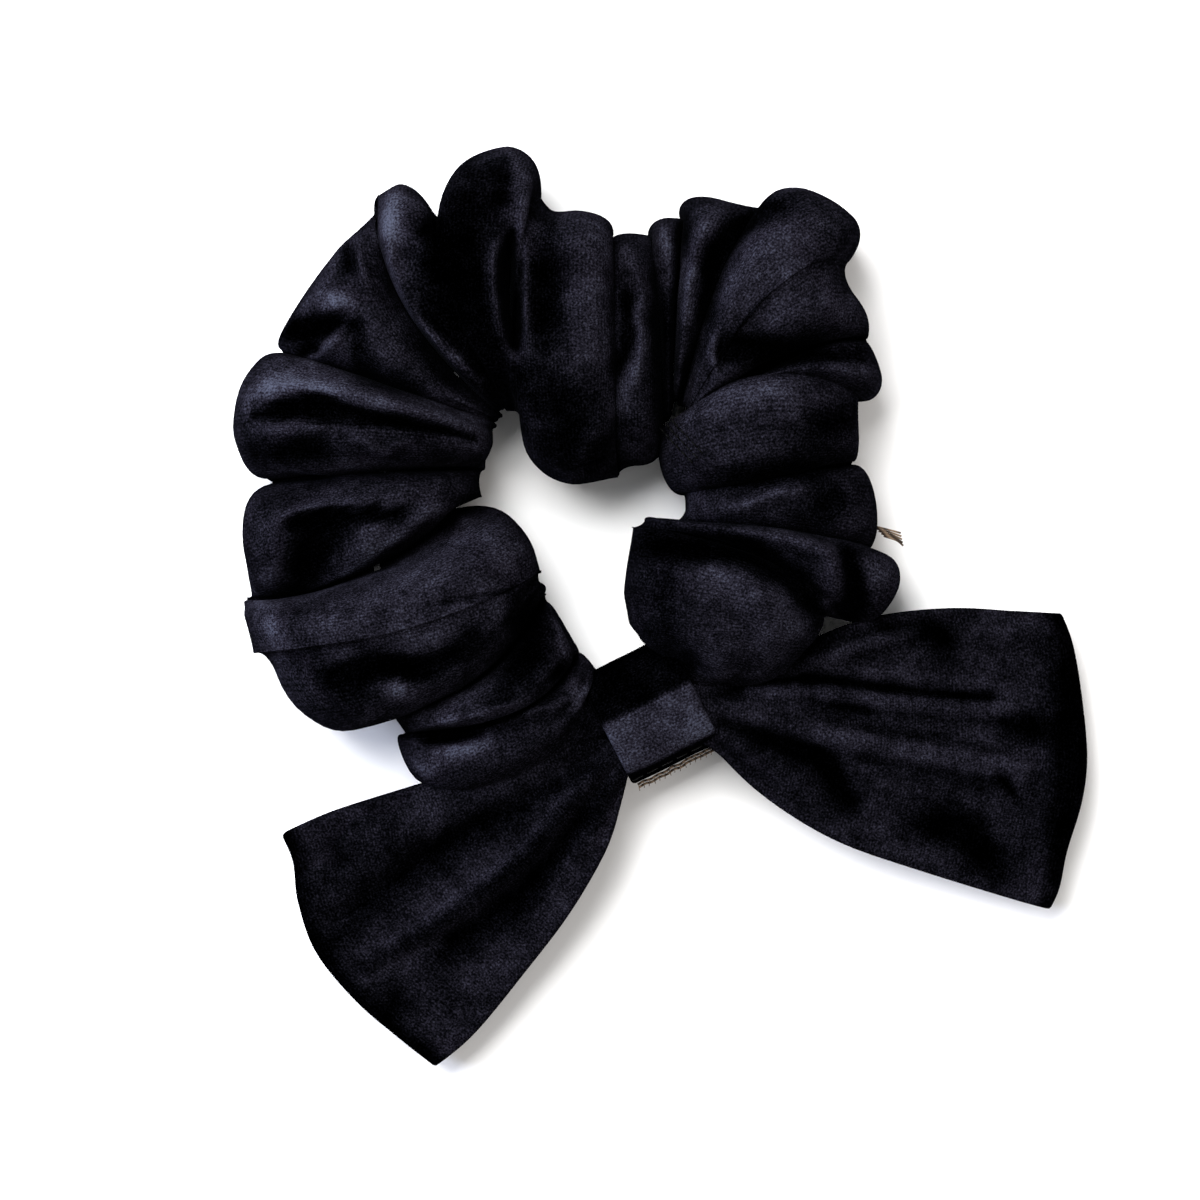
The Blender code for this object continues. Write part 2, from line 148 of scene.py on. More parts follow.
def mesh_object(name: str, points: Array, quads: Array, cloth_map: Array, nap: Array) -> bpy.types.Object:
    """A smooth mesh object with a map of the flat cloth and with the lie of its nap, which also carries
    painted highlight and painted shade.

    Args:
        name: The object's name.
        points: Its points in the plan, in millimetres.
        quads: Four point numbers for each face.
        cloth_map: For each point its place on the flat cloth, in millimetres.
        nap: For each point how far its nap stands up, with painted highlight and painted shade added, from 0
            to 2.

    Returns:
        The new object, at the origin, in metres.
    """
    mesh = bpy.data.meshes.new(name)
    mesh.from_pydata(PLAN.to_frame(points), [], quads.tolist())
    layer = mesh.uv_layers.new(name="cloth")
    layer.data.foreach_set("uv", cloth_map[quads.ravel()].ravel())
    # The nap attribute holds the lie of the nap together with painted highlight and painted shade.
    mesh.attributes.new("nap", "FLOAT", "POINT").data.foreach_set("value", nap)
    mesh.shade_smooth()
    made = bpy.data.objects.new(name, mesh)
    bpy.context.scene.collection.objects.link(made)
    return made


def grid_quads(rows: int, columns: int, closed: bool = False) -> Array:
    """The faces of a grid of points, closed round its columns or not."""
    index = np.arange(rows * columns).reshape(rows, columns)
    if closed:
        index = np.concatenate([index, index[:, :1]], 1)
    return np.stack([index[:-1, :-1], index[1:, :-1], index[1:, 1:], index[:-1, 1:]], -1).reshape(-1, 4)


def surface_normals(points: Array) -> Array:
    """The unit normal at each point of a grid."""
    normal = np.cross(np.gradient(points, axis=1), np.gradient(points, axis=0))
    return normal / np.maximum(np.linalg.norm(normal, axis=2, keepdims=True), 1e-9)


def flat_map(points: Array) -> Array:
    """Where each point of a grid lies on the flat cloth: along its rows, and across them, in millimetres."""
    along = np.linalg.norm(np.diff(points, axis=0), axis=2).mean(1)
    across = np.linalg.norm(np.diff(points, axis=1), axis=2).mean(0)
    u, v = (np.concatenate([[0], np.cumsum(steps)]) for steps in (along, across))
    return np.stack(np.meshgrid(u, v, indexing="ij"), -1)


def evened(values: Array, reach: int) -> Array:
    """A row of values, each replaced by the mean of those up to that many places away."""
    span = 2 * reach + 1
    return np.convolve(np.pad(values, reach, mode="edge"), np.ones(span) / span, "valid")


def blurred(grid: Array, reach: int) -> Array:
    """A grid of points, each replaced by the mean of its neighbours up to that many rows and columns away."""
    span = 2 * reach + 1
    for axis in (0, 1):
        moved = np.moveaxis(grid, axis, 0)
        padded = np.concatenate([moved[:1]] * (reach + 1) + [moved] + [moved[-1:]] * reach)
        sums = np.cumsum(padded, axis=0)
        grid = np.moveaxis((sums[span:] - sums[:-span]) / span, 0, axis)
    return grid


def painted_relief_light_and_shade(points: Array, reach: int, strength: float) -> Array:
    """Painted light from the relief: a painted highlight above 0 on a ridge, painted shade below 0 in a
    hollow.
    """
    stands = np.sum((points - blurred(points, reach)) * surface_normals(points), axis=2)
    return np.clip(strength * stands, -0.45, 0.1)


def nap_and_painted_light_of_strokes(brushed_and_painted_light: Array, up: float, down: float) -> Array:
    """The change of the nap and of its painted highlight and shade under strokes, by one strength where they
    lighten it and another where they darken it.
    """
    return np.where(brushed_and_painted_light > 0, up * brushed_and_painted_light, down * brushed_and_painted_light)


def thick_sheet(
    name: str, points: Array, nap: Array, thickness: float, side_steps: int = 3
) -> bpy.types.Object:
    """A cloth of two layers whose sides are folded round, closed at both ends.

    Args:
        name: The object's name.
        points: Rows of points in the middle of the cloth, in the plan.
        nap: How far the nap stands up at each point, with painted highlight and painted shade added.
        thickness: Of both layers together, in millimetres.
        side_steps: Points round each folded side.

    Returns:
        The new object.
    """
    normal = surface_normals(points)
    flat = flat_map(points)
    half = thickness / 2
    ring, maps, naps = [points + normal * half], [flat], [nap]
    for column, other in ((-1, -2), (0, 1)):
        side = points[:, column] - points[:, other]
        side /= np.linalg.norm(side, axis=1, keepdims=True)
        sign = 1 if column else -1
        for step in range(1, side_steps + 1):
            turn = math.pi * (0.5 - step / (side_steps + 1))
            outward = sign * math.sin(turn) * normal[:, column] + math.cos(turn) * side
            ring.append((points[:, column] + half * outward)[:, None])
            maps.append(flat[:, column][:, None])
            naps.append(nap[:, column][:, None])
        if column:
            ring.append((points - normal * half)[:, ::-1])
            maps.append(flat[:, ::-1])
            naps.append(nap[:, ::-1])
    ring, maps, naps = (np.concatenate(parts, 1) for parts in (ring, maps, naps))
    rows, columns = ring.shape[:2]
    quads = grid_quads(rows, columns, closed=True)
    across = points.shape[1]
    top = np.arange(across)
    below = across + side_steps + (across - 1 - top)
    left = [columns - 1 - step for step in range(side_steps)][::-1]
    right = [across + step for step in range(side_steps)]
    caps = [(top[i], top[i + 1], below[i + 1], below[i]) for i in range(across - 1)]
    fan = [(top[-1], right[0], right[-1], below[-1]), (top[0], below[0], left[0], left[-1])]
    caps = np.array(caps + fan)
    quads = np.concatenate([quads, caps[:, ::-1], caps + (rows - 1) * columns])
    return mesh_object(name, ring.reshape(-1, 3), quads, maps.reshape(-1, 2), naps.ravel())


def baked(piece: bpy.types.Object) -> bpy.types.Object:
    """Turns a piece and all its modifiers into a plain mesh.

    Args:
        piece: The object to bake, which is kept.

    Returns:
        The same object.
    """
    graph = bpy.context.evaluated_depsgraph_get()
    mesh = bpy.data.meshes.new_from_object(piece.evaluated_get(graph), depsgraph=graph)
    piece.modifiers.clear()
    piece.data = mesh
    mesh.name = piece.name
    return piece


def declare(piece: bpy.types.Object, body: str, slot: str, *nodes: str) -> bpy.types.Object:
    """Puts a piece on the body it rides on, hides the CAD nodes it stands for and logs its faces."""
    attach(piece, body)
    if nodes:
        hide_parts(*nodes)
    LOG.info("%s: %d faces", piece.name, len(piece.data.polygons))
    return piece


# ---------------------------------------------------------------- lines over the velvet


@dataclass(frozen=True)
class Stroke:
    """A ridge, furrow or patch of nap that runs over the velvet, seen from above, with painted highlight or
    painted shade along it.

    Attributes:
        points: The line it follows in the plan.
        width: Half its width.
        height: How high it stands, below 0 for a furrow.
        nap: How far its nap stands up and is painted lighter as a highlight, below 0 where it lies flat and is
            painted dark as shade.
    """

    points: tuple[tuple[float, float], ...]
    width: float
    height: float = 0.0
    nap: float = 0.0


def pressed(points: Array, facing: Array, strokes: tuple[Stroke, ...]) -> tuple[Array, Array]:
    """Presses strokes into a grid of points from above.

    Args:
        points: The grid.
        facing: How far each point takes part, from 0 to 1.
        strokes: What is pressed in.

    Returns:
        The grid with its ridges and furrows, and the change of the nap with its painted highlight and shade at
        each point.
    """
    made, nap = points.copy(), np.zeros(points.shape[:2])
    for stroke in strokes:
        line = smooth_line(np.array(stroke.points, float), 8 * len(stroke.points))
        low, high = line.min(0) - 3 * stroke.width, line.max(0) + 3 * stroke.width
        near = np.all((points[..., :2] > low) & (points[..., :2] < high), axis=2)
        gap = np.linalg.norm(points[near][:, None, :2] - line[None], axis=2)
        place = gap.argmin(1) / (len(line) - 1)
        taper = np.sin(np.pi * (0.08 + 0.84 * place)) ** 0.6
        weight = taper * np.exp(-((gap.min(1) / stroke.width) ** 2)) * facing[near]
        made[near, 2] += stroke.height * weight
        nap[near] += stroke.nap * weight
    return made, nap


# ---------------------------------------------------------------- threads and fibres by Geometry Nodes


@dataclass
class NodeTool:
    """One Geometry Nodes tree and the way to run it on a piece.

    Attributes:
        name: The tree's name.
        inputs: Name and socket type of each input after the geometry.
    """

    name: str
    inputs: tuple[tuple[str, str], ...]
    tree: bpy.types.NodeTree = field(init=False)
    sockets: dict[str, str] = field(init=False, default_factory=dict)

    def __post_init__(self) -> None:
        """Makes the tree's own inputs and its output."""
        self.tree = bpy.data.node_groups.new(self.name, "GeometryNodeTree")
        interface = self.tree.interface
        interface.new_socket("Geometry", in_out="INPUT", socket_type="NodeSocketGeometry")
        for name, kind in self.inputs:
            self.sockets[name] = interface.new_socket(name, in_out="INPUT", socket_type=kind).identifier
        interface.new_socket("Geometry", in_out="OUTPUT", socket_type="NodeSocketGeometry")
        self.given = self.tree.nodes.new("NodeGroupInput").outputs
        self.build()

    def build(self) -> None:
        """Adds the tree's nodes, which each kind of tool does in its own way."""
        raise NotImplementedError

    def round_thread(self, path: bpy.types.NodeSocket, sides: int) -> bpy.types.NodeSocket:
        """Sweeps a small circle of the given radius along a path.

        Args:
            path: The curve that the thread follows.
            sides: Sides of the circle.

        Returns:
            The thread's mesh.
        """
        circle = add_node(
            self.tree, "GeometryNodeCurvePrimitiveCircle",
            {"Resolution": sides, "Radius": self.given["Radius"]},
        )
        thread = add_node(
            self.tree, "GeometryNodeCurveToMesh",
            {"Curve": path, "Profile Curve": circle.outputs[0], "Fill Caps": True},
        )
        return thread.outputs[0]

    def turned(self, facing: bpy.types.NodeSocket, angle: bpy.types.NodeSocket) -> bpy.types.NodeSocket:
        """A rotation turned further by an angle round its own Z."""
        spin = add_node(self.tree, "FunctionNodeAxisAngleToRotation", {"Axis": (0, 0, 1), "Angle": angle})
        both = add_node(
            self.tree, "FunctionNodeRotateRotation",
            {"Rotation": facing, "Rotate By": spin.outputs[0]}, rotation_space="LOCAL",
        )
        return both.outputs[0]

    def end(self, geometry: bpy.types.NodeSocket) -> None:
        """Ends the tree in Realize Instances and Set Material."""
        real = add_node(self.tree, "GeometryNodeRealizeInstances", {"Geometry": geometry})
        dressed = add_node(
            self.tree, "GeometryNodeSetMaterial",
            {"Geometry": real.outputs["Geometry"], "Material": self.given["Material"]},
        )
        add_node(self.tree, "NodeGroupOutput", {"Geometry": dressed.outputs["Geometry"]})

    def run(self, piece: bpy.types.Object, **values) -> bpy.types.Object:
        """Runs the tree on a piece and keeps its result as a plain mesh."""
        modifier = piece.modifiers.new(self.name, "NODES")
        modifier.node_group = self.tree
        for name, value in values.items():
            modifier[self.sockets[name.replace("_", " ").title()]] = value
        baked(piece)
        piece.data.shade_smooth()
        return piece


class CordTool(NodeTool):
    """Makes a round thread along each path."""

    def __init__(self) -> None:
        """Names its inputs."""
        super().__init__(
            "cord_along_path", (("Radius", "NodeSocketFloat"), ("Material", "NodeSocketMaterial"))
        )

    def build(self) -> None:
        """Sweeps a round along the paths."""
        path = add_node(self.tree, "GeometryNodeMeshToCurve", {"Mesh": self.given["Geometry"]})
        self.end(self.round_thread(path.outputs[0], 6))


class StitchTool(NodeTool):
    """Lays short stitches at even steps along each path, across it or along it."""

    def __init__(self) -> None:
        """Names its inputs."""
        floats = tuple((name, "NodeSocketFloat") for name in ("Spacing", "Length", "Radius", "Slant"))
        super().__init__("stitches_along_path", (*floats, ("Material", "NodeSocketMaterial")))

    def build(self) -> None:
        """Bows a short thread and puts a copy of it at each step, turned with the path."""
        tree, given = self.tree, self.given
        path = add_node(tree, "GeometryNodeMeshToCurve", {"Mesh": given["Geometry"]})
        steps = add_node(
            tree, "GeometryNodeCurveToPoints",
            {"Curve": path.outputs[0], "Length": given["Spacing"]}, mode="LENGTH",
        )
        ends = []
        for share in (-0.5, 0.5):
            side = add_node(tree, "ShaderNodeMath", {0: given["Length"], 1: share}, operation="MULTIPLY")
            ends.append(add_node(tree, "ShaderNodeCombineXYZ", {"X": side.outputs[0]}).outputs[0])
        bow = add_node(tree, "ShaderNodeCombineXYZ", {"Z": given["Length"]})
        thread = add_node(
            tree, "GeometryNodeCurveQuadraticBezier",
            {"Resolution": 5, "Start": ends[0], "Middle": bow.outputs[0], "End": ends[1]},
        )
        stitch = self.round_thread(thread.outputs[0], 6)
        facing = add_node(
            tree, "FunctionNodeAlignRotationToVector", {"Vector": steps.outputs["Tangent"]},
            axis="X", pivot_axis="Z",
        )
        turned = self.turned(facing.outputs[0], given["Slant"])
        laid = add_node(
            tree, "GeometryNodeInstanceOnPoints",
            {"Points": steps.outputs["Points"], "Instance": stitch, "Rotation": turned},
        )
        self.end(laid.outputs[0])


class LintTool(NodeTool):
    """Drops short curled fibres on the upper side of a piece."""

    def __init__(self) -> None:
        """Names its inputs."""
        floats = tuple((name, "NodeSocketFloat") for name in ("Density", "Length", "Radius"))
        super().__init__(
            "lint_on_velvet", (*floats, ("Seed", "NodeSocketInt"), ("Material", "NodeSocketMaterial"))
        )

    def build(self) -> None:
        """Scatters a curled fibre over the faces that look up, each turned and scaled by its own chance."""
        tree, given = self.tree, self.given
        facing = add_node(tree, "GeometryNodeInputNormal").outputs[0]
        normal = add_node(tree, "ShaderNodeSeparateXYZ", {0: facing})
        upward = add_node(
            tree, "FunctionNodeCompare", {0: normal.outputs["Z"], 1: 0.25}, operation="GREATER_THAN"
        )
        spots = add_node(
            tree, "GeometryNodeDistributePointsOnFaces",
            {
                "Mesh": given["Geometry"], "Selection": upward.outputs[0], "Density": given["Density"],
                "Seed": given["Seed"],
            },
        )
        third = add_node(tree, "ShaderNodeMath", {0: given["Length"], 1: 0.3}, operation="MULTIPLY")
        lift = add_node(tree, "ShaderNodeMath", {0: given["Radius"], 1: 2.5}, operation="MULTIPLY")
        start, middle, end = (
            add_node(tree, "ShaderNodeCombineXYZ", inputs).outputs[0]
            for inputs in (
                {"Z": lift.outputs[0]},
                {"X": third.outputs[0], "Y": third.outputs[0], "Z": third.outputs[0]},
                {"X": given["Length"], "Z": lift.outputs[0]},
            )
        )
        fibre = add_node(
            tree, "GeometryNodeCurveQuadraticBezier",
            {"Resolution": 5, "Start": start, "Middle": middle, "End": end},
        )
        body = self.round_thread(fibre.outputs[0], 3)
        chance, size = (
            add_node(
                tree, "FunctionNodeRandomValue", {2: least, 3: most, "Seed": given["Seed"]}, data_type="FLOAT"
            ).outputs[1]
            for least, most in ((0.0, 2 * math.pi), (0.35, 1.4))
        )
        turned = self.turned(spots.outputs["Rotation"], chance)
        laid = add_node(
            tree, "GeometryNodeInstanceOnPoints",
            {"Points": spots.outputs["Points"], "Instance": body, "Rotation": turned, "Scale": size},
        )
        self.end(laid.outputs[0])


def path_object(name: str, paths: list[Array]) -> bpy.types.Object:
    """An object whose edges follow some paths, for a thread tool to work on.

    Args:
        name: The object's name.
        paths: Points of each path in the plan, in millimetres.

    Returns:
        The new object.
    """
    points, edges = [], []
    for path in paths:
        first = len(points)
        points.extend(PLAN.to_frame(path).tolist())
        edges.extend((first + step, first + step + 1) for step in range(len(path) - 1))
    mesh = bpy.data.meshes.new(name)
    mesh.from_pydata(points, edges, [])
    made = bpy.data.objects.new(name, mesh)
    bpy.context.scene.collection.objects.link(made)
    return made


# ---------------------------------------------------------------- where things are


@dataclass(frozen=True)
class Plan:
    """Where the ring, its neck and the bow lie, from the frame's joints.

    Attributes:
        neck: Middle of the ring's neck, inside the band.
        outward: Direction from the ring's centre to the bow.
        along: Direction of the bow, towards its right loop.
        centre: The ring's centre, on the table.
    """

    neck: Vector
    outward: Vector
    along: Vector
    centre: Vector

    NECK_DISTANCE = 28.5

    @classmethod
    def from_frame(cls) -> "Plan":
        """Reads the plan from the joint that the bow flips on."""
        flip = next(j for j in frame["joints"] if j["name"] == "bow_flip")
        along = -Vector(flip["axis"]).normalized()
        outward = Vector((along.y, -along.x, 0))
        neck = Vector(flip["pos_m"])
        centre = neck - outward * cls.NECK_DISTANCE * MM
        return cls(neck, outward, along, Vector((centre.x, centre.y, 0)))

    def to_frame(self, points: Array) -> Array:
        """Plan points in millimetres, as points of the frame in metres."""
        return np.asarray(points, float) * MM + np.array(self.centre)

    def beside_bow(self, along: Array | float, out: Array | float, height: Array | float) -> Array:
        """Plan points, from places in the bow's own directions.

        Args:
            along: Distance along the bow from the neck's middle, towards the right loop.
            out: Distance outwards from the ring's centre.
            height: Height above the table.

        Returns:
            One point for each of them, or for each pair of them where they are rows and columns of a grid.
        """
        along, out, height = np.broadcast_arrays(along, out, height)
        axes = np.array([self.along[:], self.outward[:], (0, 0, 1)])
        return np.stack([along, out, height], -1) @ axes


PLAN = Plan.from_frame()


# ---------------------------------------------------------------- finishes


MaterialParts = tuple[bpy.types.Material, bpy.types.NodeTree, bpy.types.Node, bpy.types.NodeSocket]


def new_material(name: str) -> MaterialParts:
    """A new material, its tree, its shader and its Object coordinates."""
    made = bpy.data.materials.new(name)
    made.use_nodes = True
    tree = made.node_tree
    place = add_node(tree, "ShaderNodeTexCoord").outputs["Object"]
    return made, tree, tree.nodes["Principled BSDF"], place


def ridged(
    tree: bpy.types.NodeTree, ridges: bpy.types.NodeSocket, strength: float, depth: float,
    dark: str, light: str,
) -> None:
    """Colours a material's ridges and the grooves between them, and raises the ridges.

    Args:
        tree: The material's tree.
        ridges: 1 on a ridge and 0 in a groove.
        strength: How far the ridges take part in the shading.
        depth: How high they stand, in millimetres.
        dark: Colour in the grooves.
        light: Colour on the ridges.
    """
    shader = tree.nodes["Principled BSDF"]
    colour = add_node(
        tree, "ShaderNodeMix", {"Factor": ridges, 6: linear(dark), 7: linear(light)}, data_type="RGBA"
    )
    tree.links.new(colour.outputs[2], shader.inputs["Base Color"])
    raised = add_node(tree, "ShaderNodeBump", {"Strength": strength, "Distance": depth * MM, "Height": ridges})
    tree.links.new(raised.outputs[0], shader.inputs["Normal"])


@dataclass(frozen=True)
class Velvet:
    """Polyester knit velvet, sheared: black where its nap lies away or shade is painted, grey where it stands
    up or a highlight is painted.

    Attributes:
        name: The material's name.
        shades: Colour for each share of the nap attribute, which holds how far the nap stands up with painted
            highlight and painted shade; the blue-grey top stop is painted highlight.
        rib: Spacing of the knit's ribs, in millimetres. The real 0.4 is drawn a little coarser, so it shows.
        patch: Width of a patch of nap that lies one way, in millimetres.
        pile: Width of a tuft of nap, in millimetres.
    """

    name: str = "black_knit_velvet"
    shades: tuple[tuple[float, str], ...] = (
        (0.0, "#000000"), (0.2, "#020203"), (0.36, "#07070A"), (0.5, "#111016"), (0.66, "#1E1D25"),
        (1.0, "#3A3D4A"),
    )
    rib: float = 0.5
    patch: float = 8.0
    pile: float = 0.32

    def material(self) -> bpy.types.Material:
        """Builds the material, or returns the one that was built before."""
        if self.name in bpy.data.materials:
            return bpy.data.materials[self.name]
        made, tree, shader, place = new_material(self.name)
        cloth = add_node(tree, "ShaderNodeUVMap", uv_map="cloth").outputs["UV"]
        # The nap attribute read here carries painted highlight and painted shade as well as the lie of the
        # nap.
        lie = add_node(tree, "ShaderNodeAttribute", attribute_name="nap").outputs["Fac"]
        noises = [
            add_node(tree, "ShaderNodeTexNoise", {"Vector": place, "Scale": 1 / (size * MM), "Detail": detail})
            for size, detail in ((self.patch, 4.0), (self.pile, 2.0), (2.6, 3.0))
        ]
        patches, tufts, crush = (noise.outputs["Fac"] for noise in noises)
        across = add_node(tree, "ShaderNodeSeparateXYZ", {"Vector": cloth}).outputs["X"]
        phase = add_node(
            tree, "ShaderNodeMath", {0: across, 1: 2 * math.pi / self.rib, 2: crush}, operation="MULTIPLY_ADD"
        )
        ribs = add_node(tree, "ShaderNodeMath", {0: phase.outputs[0]}, operation="SINE").outputs[0]
        shade = lie
        for source, low, high, reach in (
            (patches, 0.32, 0.68, 0.13), (crush, 0.3, 0.7, 0.1), (tufts, 0.3, 0.7, 0.3), (ribs, -1, 1, 0.05),
        ):
            change = add_node(
                tree, "ShaderNodeMapRange",
                {"Value": source, "From Min": low, "From Max": high, "To Min": -reach, "To Max": reach},
            )
            total = add_node(
                tree, "ShaderNodeMath", {0: shade, 1: change.outputs["Result"]}, operation="ADD"
            )
            shade = total.outputs[0]
        share = add_node(tree, "ShaderNodeMath", {0: shade, 1: 0.75}, operation="MULTIPLY")
        ramp = add_node(tree, "ShaderNodeValToRGB", {"Fac": share.outputs[0]})
        stops = ramp.color_ramp.elements
        while len(stops) < len(self.shades):
            stops.new(0.5)
        for stop, (place_on_ramp, colour) in zip(stops, self.shades):
            stop.position, stop.color = place_on_ramp, linear(colour)
        tree.links.new(ramp.outputs["Color"], shader.inputs["Base Color"])
        nap = add_node(tree, "ShaderNodeBump", {"Strength": 0.5, "Distance": 0.12 * MM, "Height": tufts})
        knit = add_node(
            tree, "ShaderNodeBump",
            {"Strength": 0.2, "Distance": 0.05 * MM, "Height": ribs, "Normal": nap.outputs[0]},
        )
        tree.links.new(knit.outputs[0], shader.inputs["Normal"])
        shader.inputs["Roughness"].default_value = 0.75
        shader.inputs["Specular IOR Level"].default_value = 0.0
        shader.inputs["Sheen Weight"].default_value = 0.006
        shader.inputs["Sheen Roughness"].default_value = 0.3
        shader.inputs["Sheen Tint"].default_value = linear("#9DA2B4")
        return made


@dataclass(frozen=True)
class Thread:
    """Two-ply spun polyester thread, matt, whose twist shows as slanting grooves.

    Attributes:
        name: The material's name.
        dark: Colour in the grooves between its plies.
        light: Colour of the plies.
        twist: Length of one turn of the plies, in millimetres.
    """

    name: str = "spun_polyester_thread"
    dark: str = "#010101"
    light: str = "#060607"
    twist: float = 0.9

    def material(self) -> bpy.types.Material:
        """Builds the material, or returns the one that was built before."""
        if self.name in bpy.data.materials:
            return bpy.data.materials[self.name]
        made, tree, shader, place = new_material(self.name)
        plies = add_node(
            tree, "ShaderNodeTexWave",
            {"Vector": place, "Scale": WAVE_BAND / (self.twist * MM), "Distortion": 1.5, "Detail": 1.0},
            bands_direction="DIAGONAL",
        )
        ridged(tree, plies.outputs["Fac"], 0.6, 0.1, self.dark, self.light)
        shader.inputs["Roughness"].default_value = 0.65
        shader.inputs["Specular IOR Level"].default_value = 0.05
        return made


@dataclass(frozen=True)
class WovenElastic:
    """Flat woven elastic, rubber cords under a polyester weave: ribbed along its length and matt.

    Attributes:
        name: The material's name.
        dark: Colour between the cords.
        light: Colour over the cords.
        cord: Spacing of the rubber cords, in millimetres.
    """

    name: str = "woven_elastic"
    dark: str = "#0A0A0C"
    light: str = "#19191C"
    cord: float = 0.8

    def material(self) -> bpy.types.Material:
        """Builds the material."""
        made, tree, shader, place = new_material(self.name)
        cords = add_node(
            tree, "ShaderNodeTexWave",
            {"Vector": place, "Scale": WAVE_BAND / (self.cord * MM), "Distortion": 0.3},
            bands_direction="Z",
        )
        ridged(tree, cords.outputs["Fac"], 0.7, 0.2, self.dark, self.light)
        shader.inputs["Roughness"].default_value = 0.7
        return made


# Loose cotton and polyester lint: pale, thin, and a little uneven along its length
LINT = Thread("pale_lint", "#8E8B88", "#D2CFCA", 1.6)
# Cut edge of the velvet's knitted backing, where the light ground yarn shows
CUT_EDGE = Thread("cut_backing_yarn", "#2E2621", "#84715F", 0.7)
SEWING_THREAD = Thread()
VELVET = Velvet()


# ---------------------------------------------------------------- the gathered cover


class Line(Enum):
    """What a line over the tube is: the top of a puff, or the crease between two puffs."""

    CREST = "crest"
    CREASE = "crease"


@dataclass(frozen=True)
class Fold:
    """One line over the tube, from the hole to the ring's outside, as it lies.

    Attributes:
        line: Crest or crease.
        inner: Where it ends towards the hole.
        middle: Where it crosses the top of the tube.
        outer: Where it ends outside.
        top: Height of its middle.
        before: How far the puff before a crease laps over it, as an angle of its round.
        after: The same for the puff after it.
    """

    line: Line
    inner: tuple[float, float]
    middle: tuple[float, float]
    outer: tuple[float, float]
    top: float
    before: float = 0.4
    after: float = 0.4


def crest(inner: tuple, middle: tuple, outer: tuple, top: float) -> Fold:
    """The line along the top of a puff."""
    return Fold(Line.CREST, inner, middle, outer, top)


def crease(
    inner: tuple, middle: tuple, outer: tuple, top: float, before: float = 0.4, after: float = 0.4
) -> Fold:
    """The crease between two puffs, and how far each of them laps over it."""
    return Fold(Line.CREASE, inner, middle, outer, top, before, after)


